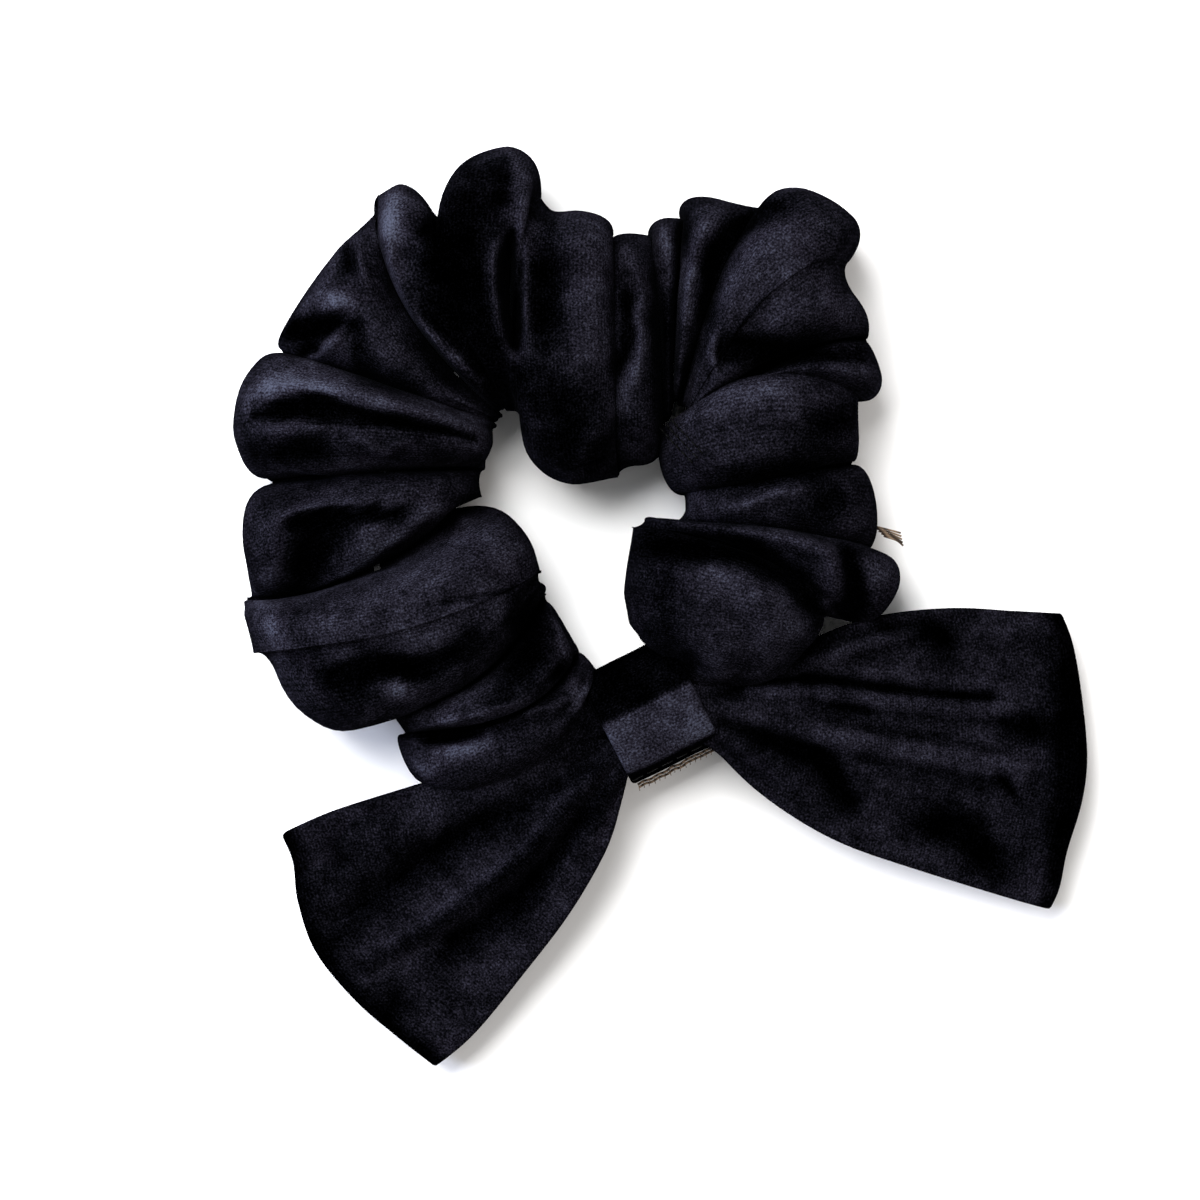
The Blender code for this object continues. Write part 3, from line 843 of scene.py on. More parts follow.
@dataclass
class GatheredCover:
    """The velvet tube, sewn lengthwise and gathered on the elastic into puffs.

    Attributes:
        folds: Creases and crests by turns, counterclockwise from the band's right side to its left.
        strokes: Ridges, furrows and patches of nap on the top, which also paint highlight and shade.
        sides: Points round the tube.
        steps: Points from a crease to a crest.
        seam_turn: Where the lengthwise seam is, in degrees round the tube from its outer side over its top.
        neck_radius: Radius of the neck that the band squeezes.
        neck_half: Half the neck's length.
        lowest: Height of the underside over the table.
        waistline: Height of the tube's sides, as a share of a fold's top.
        flattening: How far the underside would hang under the table, which flattens it.
        under_bend: How far a fold's bend shows on the underside, as a share of its bend on top.
        tuck: How far a crease draws in on the underside, as a share of its length.
        neck_laps: How far the first and the last puff lap over the neck, below 0 where one shrinks back.
        end_seam: The line on top along which the tube's two ends are sewn together.
    """

    folds: tuple[Fold, ...]
    strokes: tuple[Stroke, ...]
    sides: int = 160
    steps: int = 13
    seam_turn: float = 225.0
    neck_radius: float = 4.3
    neck_half: float = 6.4
    lowest: float = 0.15
    waistline: float = 0.42
    flattening: float = 3.0
    under_bend: float = 0.6
    tuck: float = 0.1
    neck_laps: tuple[float, float] = (-0.7, 0.1)
    end_seam: tuple = ((16.6, 16.4), (17.4, 15.4), (18.4, 14.3), (19.5, 13.1), (20.8, 11.7))

    def turns(self) -> Array:
        """Turn of each point of a section, from one sewn edge round the tube to the other."""
        start = math.radians(self.seam_turn)
        return np.linspace(start, start - 2 * math.pi, self.sides)

    def over(self, fold: Fold) -> Array:
        """The section of the tube along one fold line.

        Args:
            fold: The line that it follows over the top.

        Returns:
            One point for each turn.
        """
        inner, middle, outer = (np.array(p, float) for p in (fold.inner, fold.middle, fold.outer))
        turn = self.turns()
        cosine, sine = np.cos(turn), np.sin(turn)
        across = ((1 + np.sign(cosine) * np.abs(cosine) ** 0.9) / 2)[:, None]
        halfway = (inner + outer) / 2
        control = 2 * middle - halfway
        bent = np.where(sine[:, None] > 0, control, halfway + self.under_bend * (control - halfway))
        plan = inner * (1 - across) ** 2 + 2 * bent * across * (1 - across) + outer * across**2
        if fold.line is Line.CREASE:
            tucked = self.tuck * ease(-sine / 0.6)[:, None]
            plan = halfway + (1 - tucked) * (plan - halfway)
        centre = fold.top * self.waistline
        above = centre + (fold.top - centre) * np.maximum(sine, 0) ** 0.75
        below = centre - (centre + self.flattening) * np.maximum(-sine, 0) ** 0.7
        height = np.where(sine > 0, above, np.maximum(self.lowest, below))
        return np.concatenate([plan, height[:, None]], 1)

    def neck(self, along: float) -> Array:
        """The round section of the neck, at that distance along it from the bow's middle."""
        turn = self.turns()
        out = PLAN.NECK_DISTANCE + self.neck_radius * np.cos(turn)
        height = PLAN.neck.z / MM + self.neck_radius * np.sin(turn)
        return PLAN.beside_bow(along, out, height)

    def puff(self, start: Array, middle: Array, end: Array, laps: tuple[float, float]) -> Array:
        """The sections of one puff, which bulges over the creases on both its sides.

        Args:
            start: Section in the crease before it.
            middle: Section along its crest.
            end: Section in the crease after it.
            laps: How far it laps over each of them, as an angle of its round.

        Returns:
            Sections from the first crease up to, but without, the second.
        """
        turn = self.turns()
        chord = middle[np.argmin(np.abs(turn))] - middle[np.argmin(np.abs(turn - math.pi))]
        side = np.array([-chord[1], chord[0], 0]) / np.linalg.norm(chord[:2])
        rows = []
        for edge, lap, forward in ((start, laps[0], True), (end, laps[1], False)):
            reach = middle - edge
            sideways = (reach @ side)[:, None] * side
            rest = reach - sideways
            fading = lap * ease((np.cos(turn) + 0.9) / 0.7) * ease((np.sin(turn) + 0.5) / 0.5)
            angles = np.linspace(-fading, math.pi / 2, self.steps + 1)
            drift = (np.cos(fading) - np.cos(angles)) / np.cos(fading)
            rise = (np.clip(np.sin(angles) + np.sin(fading), 0, 2) / (1 + np.sin(fading))) ** 0.9
            half = [edge + sideways * d[:, None] + rest * r[:, None] for d, r in zip(drift, rise)]
            rows.extend(half[:-1] if forward else half[:0:-1])
        return np.array(rows)

    def surface(self) -> Array:
        """All sections of the cover, from the band's right side round the ring and on through the band."""
        creases = [fold for fold in self.folds if fold.line is Line.CREASE]
        crests = [fold for fold in self.folds if fold.line is Line.CREST]
        between = [self.over(fold) for fold in creases]
        edges = [self.neck(self.neck_half), *between, self.neck(-self.neck_half)]
        after = [self.neck_laps[0]] + [fold.after for fold in creases]
        before = [fold.before for fold in creases] + [self.neck_laps[1]]
        rows = [
            self.puff(edges[k], self.over(fold), edges[k + 1], (after[k], before[k]))
            for k, fold in enumerate(crests)
        ]
        neck = [self.neck(along) for along in np.linspace(-self.neck_half, self.neck_half, 9)]
        return np.concatenate([*rows, np.array(neck)])

    def facing(self, rows: int) -> Array:
        """How far each point of the grid is on the upper side, from 0 to 1."""
        return np.tile(ease(np.sin(self.turns()) / 0.35), (rows, 1))

    def wrinkled(self, points: Array) -> Array:
        """The surface with the small wrinkles that gathering leaves along each fold, and with soft dents."""
        flat = flat_map(points)
        u, v = flat[..., 0], flat[..., 1]
        bend = 3 * value_noise(u / 40, v / 30, 3)
        wide = 0.5 * value_noise(u / 7.0 + bend, v / 34, 5)
        narrow = 0.22 * value_noise(u / 3.4 + bend, v / 20, 8)
        dents = 0.7 * np.minimum(0, value_noise(u / 13, v / 11, 21))
        return points + surface_normals(points) * (wide + narrow + dents)[..., None]

    def on_top(self, points: Array, line: tuple, lift: float) -> Array:
        """A line of the plan laid on the velvet.

        Args:
            points: The cover's grid.
            line: Points of the line in the plan.
            lift: How far above the velvet it lies.

        Returns:
            The line's points on the uppermost velvet.
        """
        flat = points.reshape(-1, 3)
        path = smooth_line(np.array(line, float), 6 * len(line))
        heights = []
        for spot in path:
            gap = np.linalg.norm(flat[:, :2] - spot, axis=1)
            near = gap < 0.8
            heights.append(flat[near, 2].max() if near.any() else flat[gap.argmin(), 2])
        return np.concatenate([path, evened(heights, 2)[:, None] + lift], 1)

    def build(self) -> bpy.types.Object:
        """Makes the cover, its seams and the frayed end of its seam allowance."""
        points = self.surface()
        points, brushed_and_painted_light = pressed(points, self.facing(len(points)), self.strokes)
        points = self.wrinkled(points)
        points[..., 2] = np.maximum(points[..., 2], self.lowest)
        normal = surface_normals(points)
        # Painted light: faces that look up are painted lighter, the strokes paint highlights and shade, and
        # the relief paints highlights on ridges and shade in hollows.
        nap = 0.36 + 0.1 * np.clip(normal[..., 2], -0.5, 1)
        nap = nap + nap_and_painted_light_of_strokes(brushed_and_painted_light, 0.62, 1.15) + painted_relief_light_and_shade(points, 4, 0.5)
        flat = flat_map(points)
        rows, columns = points.shape[:2]
        piece = mesh_object(
            "gathered_velvet_cover", points.reshape(-1, 3), grid_quads(rows, columns),
            flat.reshape(-1, 2), np.clip(nap, 0, 2).ravel(),
        )
        piece.data.materials.append(VELVET.material())
        declare(piece, "ring", "velvet", "velvet_cover")
        self.sew(points)
        self.fray()
        return piece

    def fray(self) -> None:
        """The frayed end of the seam allowance, which looks out between two puffs on the right."""
        ends = [
            (
                (49.6 + 0.4 * k, 0.9 - 0.4 * k, 9.0),
                (52.0 + 0.3 * k, 0.3 - 0.42 * k, 9.4),
                (53.9 + 0.1 * k, -0.2 - 0.5 * k, 8.8),
            )
            for k in range(5)
        ]
        tuft = path_object("seam_end_fray", [smooth_line(end, 10) for end in ends])
        CORDS.run(tuft, radius=0.15 * MM, material=CUT_EDGE.material())
        declare(tuft, "ring", "thread")

    def sew(self, points: Array) -> None:
        """Sews the lengthwise seam and the end seam."""
        middle = points.mean(1)
        seam = (points[:, 0] + points[:, -1]) / 2
        seam += 1.2 * (middle - seam) / np.linalg.norm(middle - seam, axis=1, keepdims=True)
        seam = np.stack([evened(seam[:, k], 6) for k in range(3)], 1)
        stitches = path_object("long_seam_stitches", [seam])
        STITCHES.run(
            stitches, spacing=2.4 * MM, length=1.5 * MM, radius=0.16 * MM, slant=0.7,
            material=SEWING_THREAD.material(),
        )
        declare(stitches, "ring", "thread", "cover_long_seam_thread")
        lines = [
            self.on_top(points, tuple((x + shift, y + shift * 0.9) for x, y in self.end_seam), 0.12)
            for shift in (-0.8, 0.0, 0.8)
        ]
        ends = path_object("end_seam_stitches", lines)
        STITCHES.run(
            ends, spacing=1.3 * MM, length=1.1 * MM, radius=0.14 * MM, slant=0.0,
            material=SEWING_THREAD.material(),
        )
        declare(ends, "ring", "thread", "cover_end_seam_thread")


COVER_FOLDS = (
    crest((9.5, -8.6), (26.0, -11.4), (41.8, -13.6), 26.0),
    crease((10.9, 0.9), (31.0, -4.0), (45.5, -14.0), 20.0, before=0.1, after=0.0),
    crest((13.0, 2.0), (36.0, -2.0), (53.4, -9.0), 22.0),
    crease((17.5, 1.2), (34.0, 0.2), (48.4, -3.2), 13.0, before=0.5, after=0.1),
    crest((19.6, 3.6), (35.0, 4.6), (50.3, 1.8), 21.0),
    crease((19.2, 6.0), (32.0, 8.5), (46.0, 11.0), 18.5, before=0.1, after=0.2),
    crest((15.3, 13.4), (31.0, 17.5), (47.3, 15.0), 25.5),
    crease((15.6, 15.9), (31.0, 23.6), (47.5, 20.8), 20.0, before=0.5, after=0.3),
    crest((17.5, 17.2), (36.0, 25.6), (50.6, 25.0), 23.0),
    crease((18.5, 17.8), (36.0, 27.6), (48.6, 30.4), 19.0, before=0.0, after=0.1),
    crest((19.4, 18.4), (35.0, 33.4), (46.4, 36.8), 28.0),
    crease((19.6, 18.8), (33.5, 37.5), (45.6, 42.6), 28.7, before=0.0, after=0.0),
    crest((19.6, 19.2), (31.5, 42.0), (46.0, 49.4), 29.0),
    crease((18.6, 20.0), (25.0, 41.0), (32.0, 52.0), 21.0, before=0.1, after=0.2),
    crest((18.0, 20.4), (20.0, 39.0), (25.0, 52.6), 26.0),
    crease((17.4, 20.2), (18.0, 36.5), (19.5, 49.5), 15.0, before=0.6, after=0.1),
    crest((16.8, 17.4), (16.3, 37.5), (16.8, 49.8), 22.0),
    crease((16.0, 14.0), (15.0, 35.5), (14.0, 46.5), 14.0),
    crest((12.0, 10.2), (12.0, 30.0), (11.0, 47.5), 26.0),
    crease((9.0, 8.6), (7.4, 28.0), (7.2, 45.4), 19.0, before=0.0, after=0.5),
    crest((2.6, 7.4), (0.0, 35.5), (1.0, 50.6), 30.0),
    crease((-6.6, 16.2), (-7.0, 38.0), (-3.6, 54.6), 28.4, before=0.0, after=0.0),
    crest((-7.6, 19.0), (-12.0, 38.5), (-9.3, 60.8), 29.5),
    crease((-9.2, 19.4), (-18.0, 37.5), (-19.6, 49.6), 28.7, before=0.0, after=0.0),
    crest((-9.8, 19.2), (-24.0, 36.5), (-26.8, 55.6), 28.5),
    crease((-10.0, 18.7), (-25.0, 35.5), (-29.6, 53.4), 14.0, before=0.4, after=0.1),
    crest((-10.4, 18.0), (-29.0, 28.5), (-36.6, 43.6), 23.0),
    crease((-11.0, 17.0), (-29.5, 23.5), (-44.5, 28.6), 17.0, before=0.2, after=0.2),
    crest((-11.4, 14.2), (-31.5, 18.0), (-52.2, 17.8), 28.0),
    crease((-12.8, 10.0), (-27.5, 9.5), (-46.5, 8.0), 14.0, before=0.2, after=0.1),
    crest((-12.8, 5.6), (-29.0, 5.0), (-50.9, -4.6), 23.0),
    crease((-18.6, 3.8), (-34.2, -7.4), (-50.9, -10.8), 9.0, before=0.1, after=0.05),
    crest((-4.0, -4.0), (-25.0, -12.6), (-49.8, -15.6), 29.0),
    crease((-3.2, -6.4), (-24.0, -15.0), (-49.0, -19.2), 28.8, before=0.0, after=0.0),
    crest((-3.4, -8.0), (-21.0, -19.5), (-45.2, -22.6), 27.5),
    crease((-3.0, -10.2), (-12.5, -22.5), (-28.0, -28.6), 14.0, before=0.5, after=0.2),
    crest((1.6, -17.0), (-8.5, -26.0), (-26.0, -31.0), 23.0),
    crease((2.2, -19.4), (-7.0, -28.5), (-25.5, -32.5), 15.0),
    crest((5.0, -21.5), (-6.0, -31.5), (-24.5, -38.5), 19.0),
)

# Each stroke's last number paints highlight where above 0 and shade where below 0, along ridges, furrows, the
# slit and its rim, as well as the lie of the nap.
COVER_STROKES = (
    # the right side, from the band up
    Stroke(((21, -5), (28, -8), (35, -13), (31, -18), (24, -20)), 4.6, 0.65, 0.34),
    Stroke(((12, -2), (18, -2.6), (27, -3.0), (35, -7), (40.5, -13.5)), 2.4, -2.4, -0.7),
    Stroke(((13, -6), (16, -10), (15, -17)), 3.0, -0.78, -0.3),
    Stroke(((13, -13), (15.5, -13)), 1.4, 0.39, 0.35),
    Stroke(((24, 0.2), (34, -0.8), (41, -3.0), (43, -6), (42.2, -12)), 1.3, 1.4, 0.45),
    Stroke(((44.6, -4), (46.2, -10), (45, -15)), 1.9, -3.0, -0.8),
    Stroke(((48, -6), (51.5, -8)), 2.4, 0.0, 0.35),
    Stroke(((22, -22), (18, -19)), 2.0, -0.78, -0.3),
    Stroke(((27, 3.4), (32, 5.4), (37, 6.6)), 1.1, 1.17, 0.35),
    Stroke(((24, 8), (34, 9.3), (46, 12)), 2.0, -1.04, -0.35),
    Stroke(((39, 3), (46, 6)), 3.5, -1.04, -0.35),
    Stroke(((18, 15), (24, 20.5), (33, 21.5), (39, 20.5)), 2.8, 0.65, 0.34),
    Stroke(((19, 9.5), (20.5, 5)), 2.4, 0.0, 0.3),
    Stroke(((20, 14), (28, 14), (34, 15.5)), 3.6, 0.0, 0.22),
    Stroke(((38, 16), (46, 18)), 3.0, -1.17, -0.3),
    Stroke(((36, 25.3), (43, 25.6), (49.5, 24.2)), 1.2, 1.17, 0.36),
    Stroke(((24, 28), (34, 27.6), (46, 27.5)), 2.3, -2.34, -0.5),
    # the large corner puff and the narrow ones beside it
    Stroke(((28, 39), (33, 43), (39, 46)), 4.5, 0.52, 0.36),
    Stroke(((27, 34.5), (34, 36), (41, 39)), 4.0, 0.39, 0.3),
    Stroke(((36, 50.8), (31, 49.5), (26.6, 46), (24, 41), (22.8, 34)), 1.9, -2.86, -0.55),
    Stroke(((33, 53.4), (41, 54), (45, 50.5)), 2.2, 0.39, 0.22),
    Stroke(((46.5, 45), (45, 40), (44.5, 36)), 1.8, -1.3, -0.1),
    Stroke(((26, 33.5), (25, 36.5), (26.5, 40)), 1.3, 0.65, 0.3),
    Stroke(((23.6, 30.5), (23.4, 27.5), (24, 24)), 0.6, 1.04, 0.4),
    Stroke(((25, 52), (21.5, 46), (19.6, 38), (18.9, 28)), 1.6, 0.52, 0.4),
    Stroke(((15.5, 48.5), (16.8, 43), (17.5, 39)), 1.1, 0.39, 0.35),
    Stroke(((19.2, 50), (18.6, 44)), 0.8, -1.04, -0.4),
    Stroke(
        ((9.8, 44), (12, 39.5), (13.2, 36), (11.6, 33), (12.8, 29), (10, 22), (6.5, 16.5), (3.4, 12.5)),
        1.5, 1.3, 0.4,
    ),
    Stroke(((9.6, 37), (10.2, 30), (8.5, 25)), 1.2, -1.56, -0.4),
    Stroke(((15.5, 40), (15.5, 30), (15, 18)), 2.0, -1.04, -0.35),
    # the two tall puffs at the top, with the slit between them
    Stroke(((5.5, 47), (5.6, 40), (4.2, 31), (3, 25)), 2.6, 0.39, 0.36),
    Stroke(((-2.5, 52), (4, 48.5)), 2.4, 0.26, 0.3),
    Stroke(((-2, 43.5), (-2.5, 36), (-2, 30)), 2.8, -1.3, -0.4),
    Stroke(((-3, 22), (1, 15), (7, 11)), 5.0, 0.0, -0.4),
    Stroke(((-8.1, 46), (-8.3, 38), (-7.8, 29)), 1.25, -9.1, -0.8),
    Stroke(((-8, 47.6), (-10.6, 43), (-10.3, 36), (-9, 29.5), (-7.2, 26.6)), 0.7, 1.43, 0.55),
    Stroke(((-5.6, 55), (-6.0, 46), (-5.9, 34), (-6.0, 28)), 1.0, 1.04, 0.42),
    Stroke(((-12.5, 58.2), (-9, 60), (-6, 56)), 1.2, 0.39, 0.35),
    Stroke(((-14, 54), (-17, 44), (-16, 34), (-11, 24)), 6.5, 0.0, -0.5),
    Stroke(((-9.5, 56), (-9.6, 50)), 1.6, -0.78, -0.3),
    # the left side of the top
    Stroke(((-26.8, 53), (-27, 48), (-25.5, 44)), 2.2, 0.0, 1.1),
    Stroke(((-24.5, 53), (-22, 50.5), (-20.8, 49)), 2.2, 0.0, 0.35),
    Stroke(((-25, 45.5), (-24.5, 41)), 2.4, -1.82, 0.25),
    Stroke(((-27.3, 42), (-24.5, 35), (-20, 30), (-12.5, 23)), 0.7, 0.65, 0.6),
    Stroke(((-19.5, 48), (-22, 46)), 0.8, -1.3, -0.4),
    Stroke(((-37.5, 36.4), (-33, 35.6)), 1.4, 1.04, 1.2),
    Stroke(((-32.6, 47), (-31.6, 42), (-30.4, 37.5)), 0.7, 1.17, 0.35),
    Stroke(((-34.6, 46), (-34.4, 41)), 1.2, -1.17, -0.4),
    Stroke(((-41, 35), (-37.5, 40), (-34.6, 46)), 1.4, 0.65, 0.35),
    Stroke(((-44, 31.5), (-38, 32), (-33, 33)), 1.7, -3.6, -0.7),
    Stroke(((-33, 34), (-35.5, 30.4), (-39, 27.4), (-44, 27.5)), 0.9, 1.56, 0.5),
    Stroke(((-42, 27.6), (-39.5, 28.6), (-38, 28.2)), 1.1, -2.08, -0.6),
    Stroke(((-29, 29), (-23, 26)), 3.0, 0.65, 0.12),
    Stroke(((-32, 31), (-31, 25), (-24, 22.5)), 1.8, -1.04, -0.4),
    Stroke(((-20, 21.2), (-15, 20.4), (-12.6, 17)), 1.5, 0.52, 0.35),
    Stroke(
        ((-50, 21), (-44, 22.8), (-38, 22.4), (-30, 20.4), (-22, 18.6), (-14, 16.8), (-11.2, 14)),
        1.5, 1.69, 0.45,
    ),
    Stroke(((-49, 21), (-43, 23.5), (-36, 23)), 2.6, 0.0, 0.85),
    Stroke(((-48, 18.2), (-40, 19), (-31, 17.8), (-22, 16.2), (-14.5, 14)), 1.1, -2.86, -0.7),
    Stroke(((-47.5, 16.4), (-42, 15.2), (-36.5, 16.4)), 0.8, 1.69, 0.5),
    Stroke(((-20.5, 15.4), (-16, 13.8), (-12.4, 12.6)), 0.7, 1.3, 0.4),
    Stroke(((-48, 13), (-40, 12.6), (-36, 12.2)), 1.8, -1.04, -0.4),
    Stroke(((-34.5, 12.6), (-32.4, 14), (-30, 13), (-28, 11.8), (-25.6, 13.2)), 0.7, 1.56, 0.4),
    Stroke(((-46, 9.4), (-38, 9.4), (-30, 10.2), (-20, 10.4)), 0.7, 0.39, 0.6),
    # the left side under its middle
    Stroke(((-46, 1), (-42, 3.2), (-33, 4.2), (-25, 4.4)), 0.9, 1.82, 0.4),
    Stroke(((-43, 1), (-34, 2.4), (-25, 2.8)), 1.3, -2.08, -0.5),
    Stroke(((-41, -8.6), (-40, -4), (-37, -1)), 3.0, -4.42, -0.7),
    Stroke(((-33, -5), (-29.5, -1.8)), 2.0, 1.82, 0.3),
    Stroke(((-47, -8), (-44, -4)), 1.6, 0.52, 0.25),
    Stroke(
        ((-50.5, -9.6), (-46, -11.8), (-40, -10), (-32, -6), (-25.5, -1), (-20, 3.4), (-15, 1.4)),
        0.9, 1.43, 0.45,
    ),
    Stroke(((-38, -14.5), (-27, -9), (-17, -4), (-7, -4)), 4.6, 0.39, 0.34),
    Stroke(((-36, -18), (-24, -16.5), (-15, -13)), 3.0, 0.0, 0.3),
    Stroke(((-42, -13), (-30, -12.4), (-20, -11.5), (-10, -9.8), (-7, -8.4)), 0.45, -0.6, -0.32),
    Stroke(((-46.8, -12.5), (-45.2, -16), (-43.5, -21)), 2.2, 0.0, 0.75),
    Stroke(((-37, -24), (-30, -21.6), (-20, -21.2), (-13.5, -16.4)), 2.2, -2.0, -0.6),
    Stroke(((-34, -27), (-31, -24)), 2.4, -0.52, -0.35),
    Stroke(((-27.5, -23.5), (-24, -26)), 2.2, 0.0, 0.75),
    Stroke(((-10.6, -20), (-13, -24), (-18, -28)), 1.8, 0.52, 0.3),
    Stroke(((-6, -12), (-5, -18), (-9, -24)), 3.0, -1.3, -0.5),
    Stroke(((-2, -9), (-0.6, -14), (0.6, -19)), 0.8, 0.52, 0.4),
    Stroke(((-14, -28.2), (-8, -27.6), (-3, -27.2)), 0.9, 1.17, 0.3),
    Stroke(((-1.6, -23.6), (0.4, -21.4)), 0.8, -1.82, -0.4),
    Stroke(((-23.5, -31.8), (-15, -29.6), (-7, -29), (0, -27)), 0.9, 1.3, 0.4),
    Stroke(((-22, -32.6), (-14, -31.4)), 1.0, -1.56, -0.5),
    Stroke(((-19.5, -35.4), (-12, -33.4)), 1.8, 0.0, 0.75),
    Stroke(((-25, -36.5), (-21, -38.6)), 1.0, 0.0, 0.5),
    Stroke(((2, -24), (3.5, -28)), 1.4, 0.65, 0.3),
)


# ---------------------------------------------------------------- the bow


@dataclass
class BowLoop:
    """One loop of the bow: a wide strip of doubled velvet that runs out, folds over and comes back.

    Attributes:
        name: The CAD node it stands for.
        body: The body it rides on.
        upper_side: One side of the strip, from its root at the band to the far fold.
        lower_side: Its other side.
        far_fold: The far fold from the one side to the other.
        strokes: Ridges, furrows and patches of nap of the upper leaf, which also paint highlight and shade.
        thickness: Of both velvet layers of one leaf.
        rows: Points from the root over the far fold and back.
        columns: Points across the strip.
        root_height: Height of the middle between its leaves at the root.
        root_open: How far each leaf stands off that middle at the root.
        far_open: The same at the far fold.
        strip_width: About how wide the strip is, for setting its folded sides in.
    """

    name: str
    body: str
    upper_side: tuple
    lower_side: tuple
    far_fold: tuple
    strokes: tuple[Stroke, ...]
    thickness: float = 1.3
    rows: int = 240
    columns: int = 100
    root_height: float = 11.4
    root_open: float = 3.2
    far_open: float = 4.0
    strip_width: float = 45.0

    def plan(self, reach: Array, across: Array) -> Array:
        """Places in the plan for shares of the way out and across, between the loop's four sides."""
        count = 60
        sides = [smooth_line(np.array(side, float), count) for side in (self.upper_side, self.lower_side)]
        fold = smooth_line(np.array(self.far_fold, float), count)

        def read(line: Array, share: Array) -> Array:
            """The line's points at those shares of its length."""
            length = np.concatenate([[0], np.cumsum(np.linalg.norm(np.diff(line, axis=0), axis=1))])
            return np.stack([np.interp(share * length[-1], length, line[:, k]) for k in (0, 1)], -1)

        s, t = reach[..., None], across[..., None]
        root = sides[0][0] * (1 - t) + sides[1][0] * t
        corners = (1 - s) * root + s * (fold[0] * (1 - t) + fold[-1] * t)
        between = (1 - t) * read(sides[0], reach) + t * read(sides[1], reach)
        ends = (1 - s) * root + s * read(fold, across)
        return between + ends - corners

    def build(self) -> bpy.types.Object:
        path = np.linspace(0, 1, self.rows)
        reach = np.clip((1 - np.cos(2 * math.pi * path)) / 2, 0, 1) ** 0.62
        across = np.linspace(0, 1, self.columns)
        inset = self.thickness / 2 / self.strip_width
        reach, across = np.meshgrid(reach * (1 - inset), inset + (1 - 2 * inset) * across, indexing="ij")
        side = np.where(path < 0.5, 1.0, -1.0)[:, None]
        plan = self.plan(reach, across)
        # the leaves stand apart, meet in a round far fold, and make a round opening where they enter the band
        far_round = np.sqrt(np.clip(1 - np.clip((reach - 0.94) / 0.06, 0, 1) ** 2, 0, 1))
        near_root = (1 - reach) ** 4
        root_round = near_root * np.sqrt(np.clip(1 - (2 * across - 1) ** 2, 0.0, 1)) + 1 - near_root
        opened = (self.root_open + (self.far_open - self.root_open) * reach) * far_round * root_round
        far_height = self.far_open + 1.0
        middle = self.root_height + (far_height - self.root_height) * ease(reach * 0.9) / ease(0.9)
        pleats = 0.9 * np.cos(5.5 * math.pi * across) * (1 - reach) ** 2.2 * ease(reach * 12)
        sag = -1.2 * np.sin(math.pi * reach) - 0.7 * reach * np.abs(2 * across - 1) ** 3
        height = middle + side * opened + np.where(side > 0, pleats + sag, -0.3 * pleats)
        points = np.concatenate([plan, height[..., None]], -1)
        facing = np.where(side > 0, ease((1 - reach) / 0.04), 0.0)
        points, brushed_and_painted_light = pressed(points, facing, self.strokes)
        flat = flat_map(points)
        u, v = flat[..., 0], flat[..., 1]
        ripple = 0.35 * value_noise(u / 22, v / 6.5, 14) + 0.12 * value_noise(u / 9, v / 3.2, 15)
        points[..., 2] += ripple * np.where(side > 0, 1, 0.4)
        points[..., 2] = np.maximum(points[..., 2], self.thickness / 2 + 0.15)
        # Painted shade darkens the far fold where it turns away; the strokes and the relief add painted
        # highlight and shade.
        nap = 0.5 + nap_and_painted_light_of_strokes(brushed_and_painted_light, 0.5, 1.2) - 0.4 * ease((reach - 0.94) / 0.04)
        nap = nap + painted_relief_light_and_shade(points, 5, 0.6)
        piece = thick_sheet(self.name + "_velvet", points, np.clip(nap, 0, 2), self.thickness)
        piece.data.materials.append(VELVET.material())
        declare(piece, self.body, "velvet", self.name)
        return piece


LEFT_LOOP = BowLoop(
    "bow_left_loop", "left_loop",
    upper_side=(
        (9.5, -33.4), (4, -33.8), (-10, -36.4), (-22, -40.2), (-30, -42.6), (-38, -45.2), (-45.3, -48.4),
    ),
    lower_side=((9.8, -38.5), (8.6, -44), (6.6, -50.5), (1, -60.5), (-6, -70), (-14, -80), (-20.6, -85.8)),
    far_fold=(
        (-45.3, -48.4), (-43.4, -53), (-42.6, -59.5), (-39.8, -67.4), (-33.6, -75), (-26.6, -81),
        (-20.6, -85.8),
    ),
    # Each stroke's last number paints highlight where above 0 and shade where below 0.
    strokes=(
        Stroke(((5, -37), (-2, -40.3), (-10, -45), (-20, -50.3), (-28, -56.6), (-37, -62.6)), 2.3, -2.3, -0.5),
        Stroke(((3, -36.6), (-8, -40), (-18, -44), (-30, -47.5)), 3.6, 0.6, 0.12),
        Stroke(((-34, -50.5), (-37, -54)), 2.4, -0.4, -0.28),
        Stroke(
            ((7.5, -36.4), (3, -41), (-1, -46), (-6, -52), (-13, -57.4), (-21, -63.2), (-31, -69.4)),
            1.4, 1.7, 0.25,
        ),
        Stroke(((6.6, -40.5), (1.6, -47), (-3.2, -53.6), (-9.5, -59.6), (-18, -65.2)), 2.1, -2.2, -0.52),
        Stroke(((7, -43), (4, -52), (-2, -61), (-9, -70)), 3.2, 0.5, 0.14),
        Stroke(((-29, -74), (-25, -76)), 2.4, -0.9, -0.5),
        Stroke(((-19, -66), (-14, -64)), 2.6, -0.4, -0.3),
    ),
)

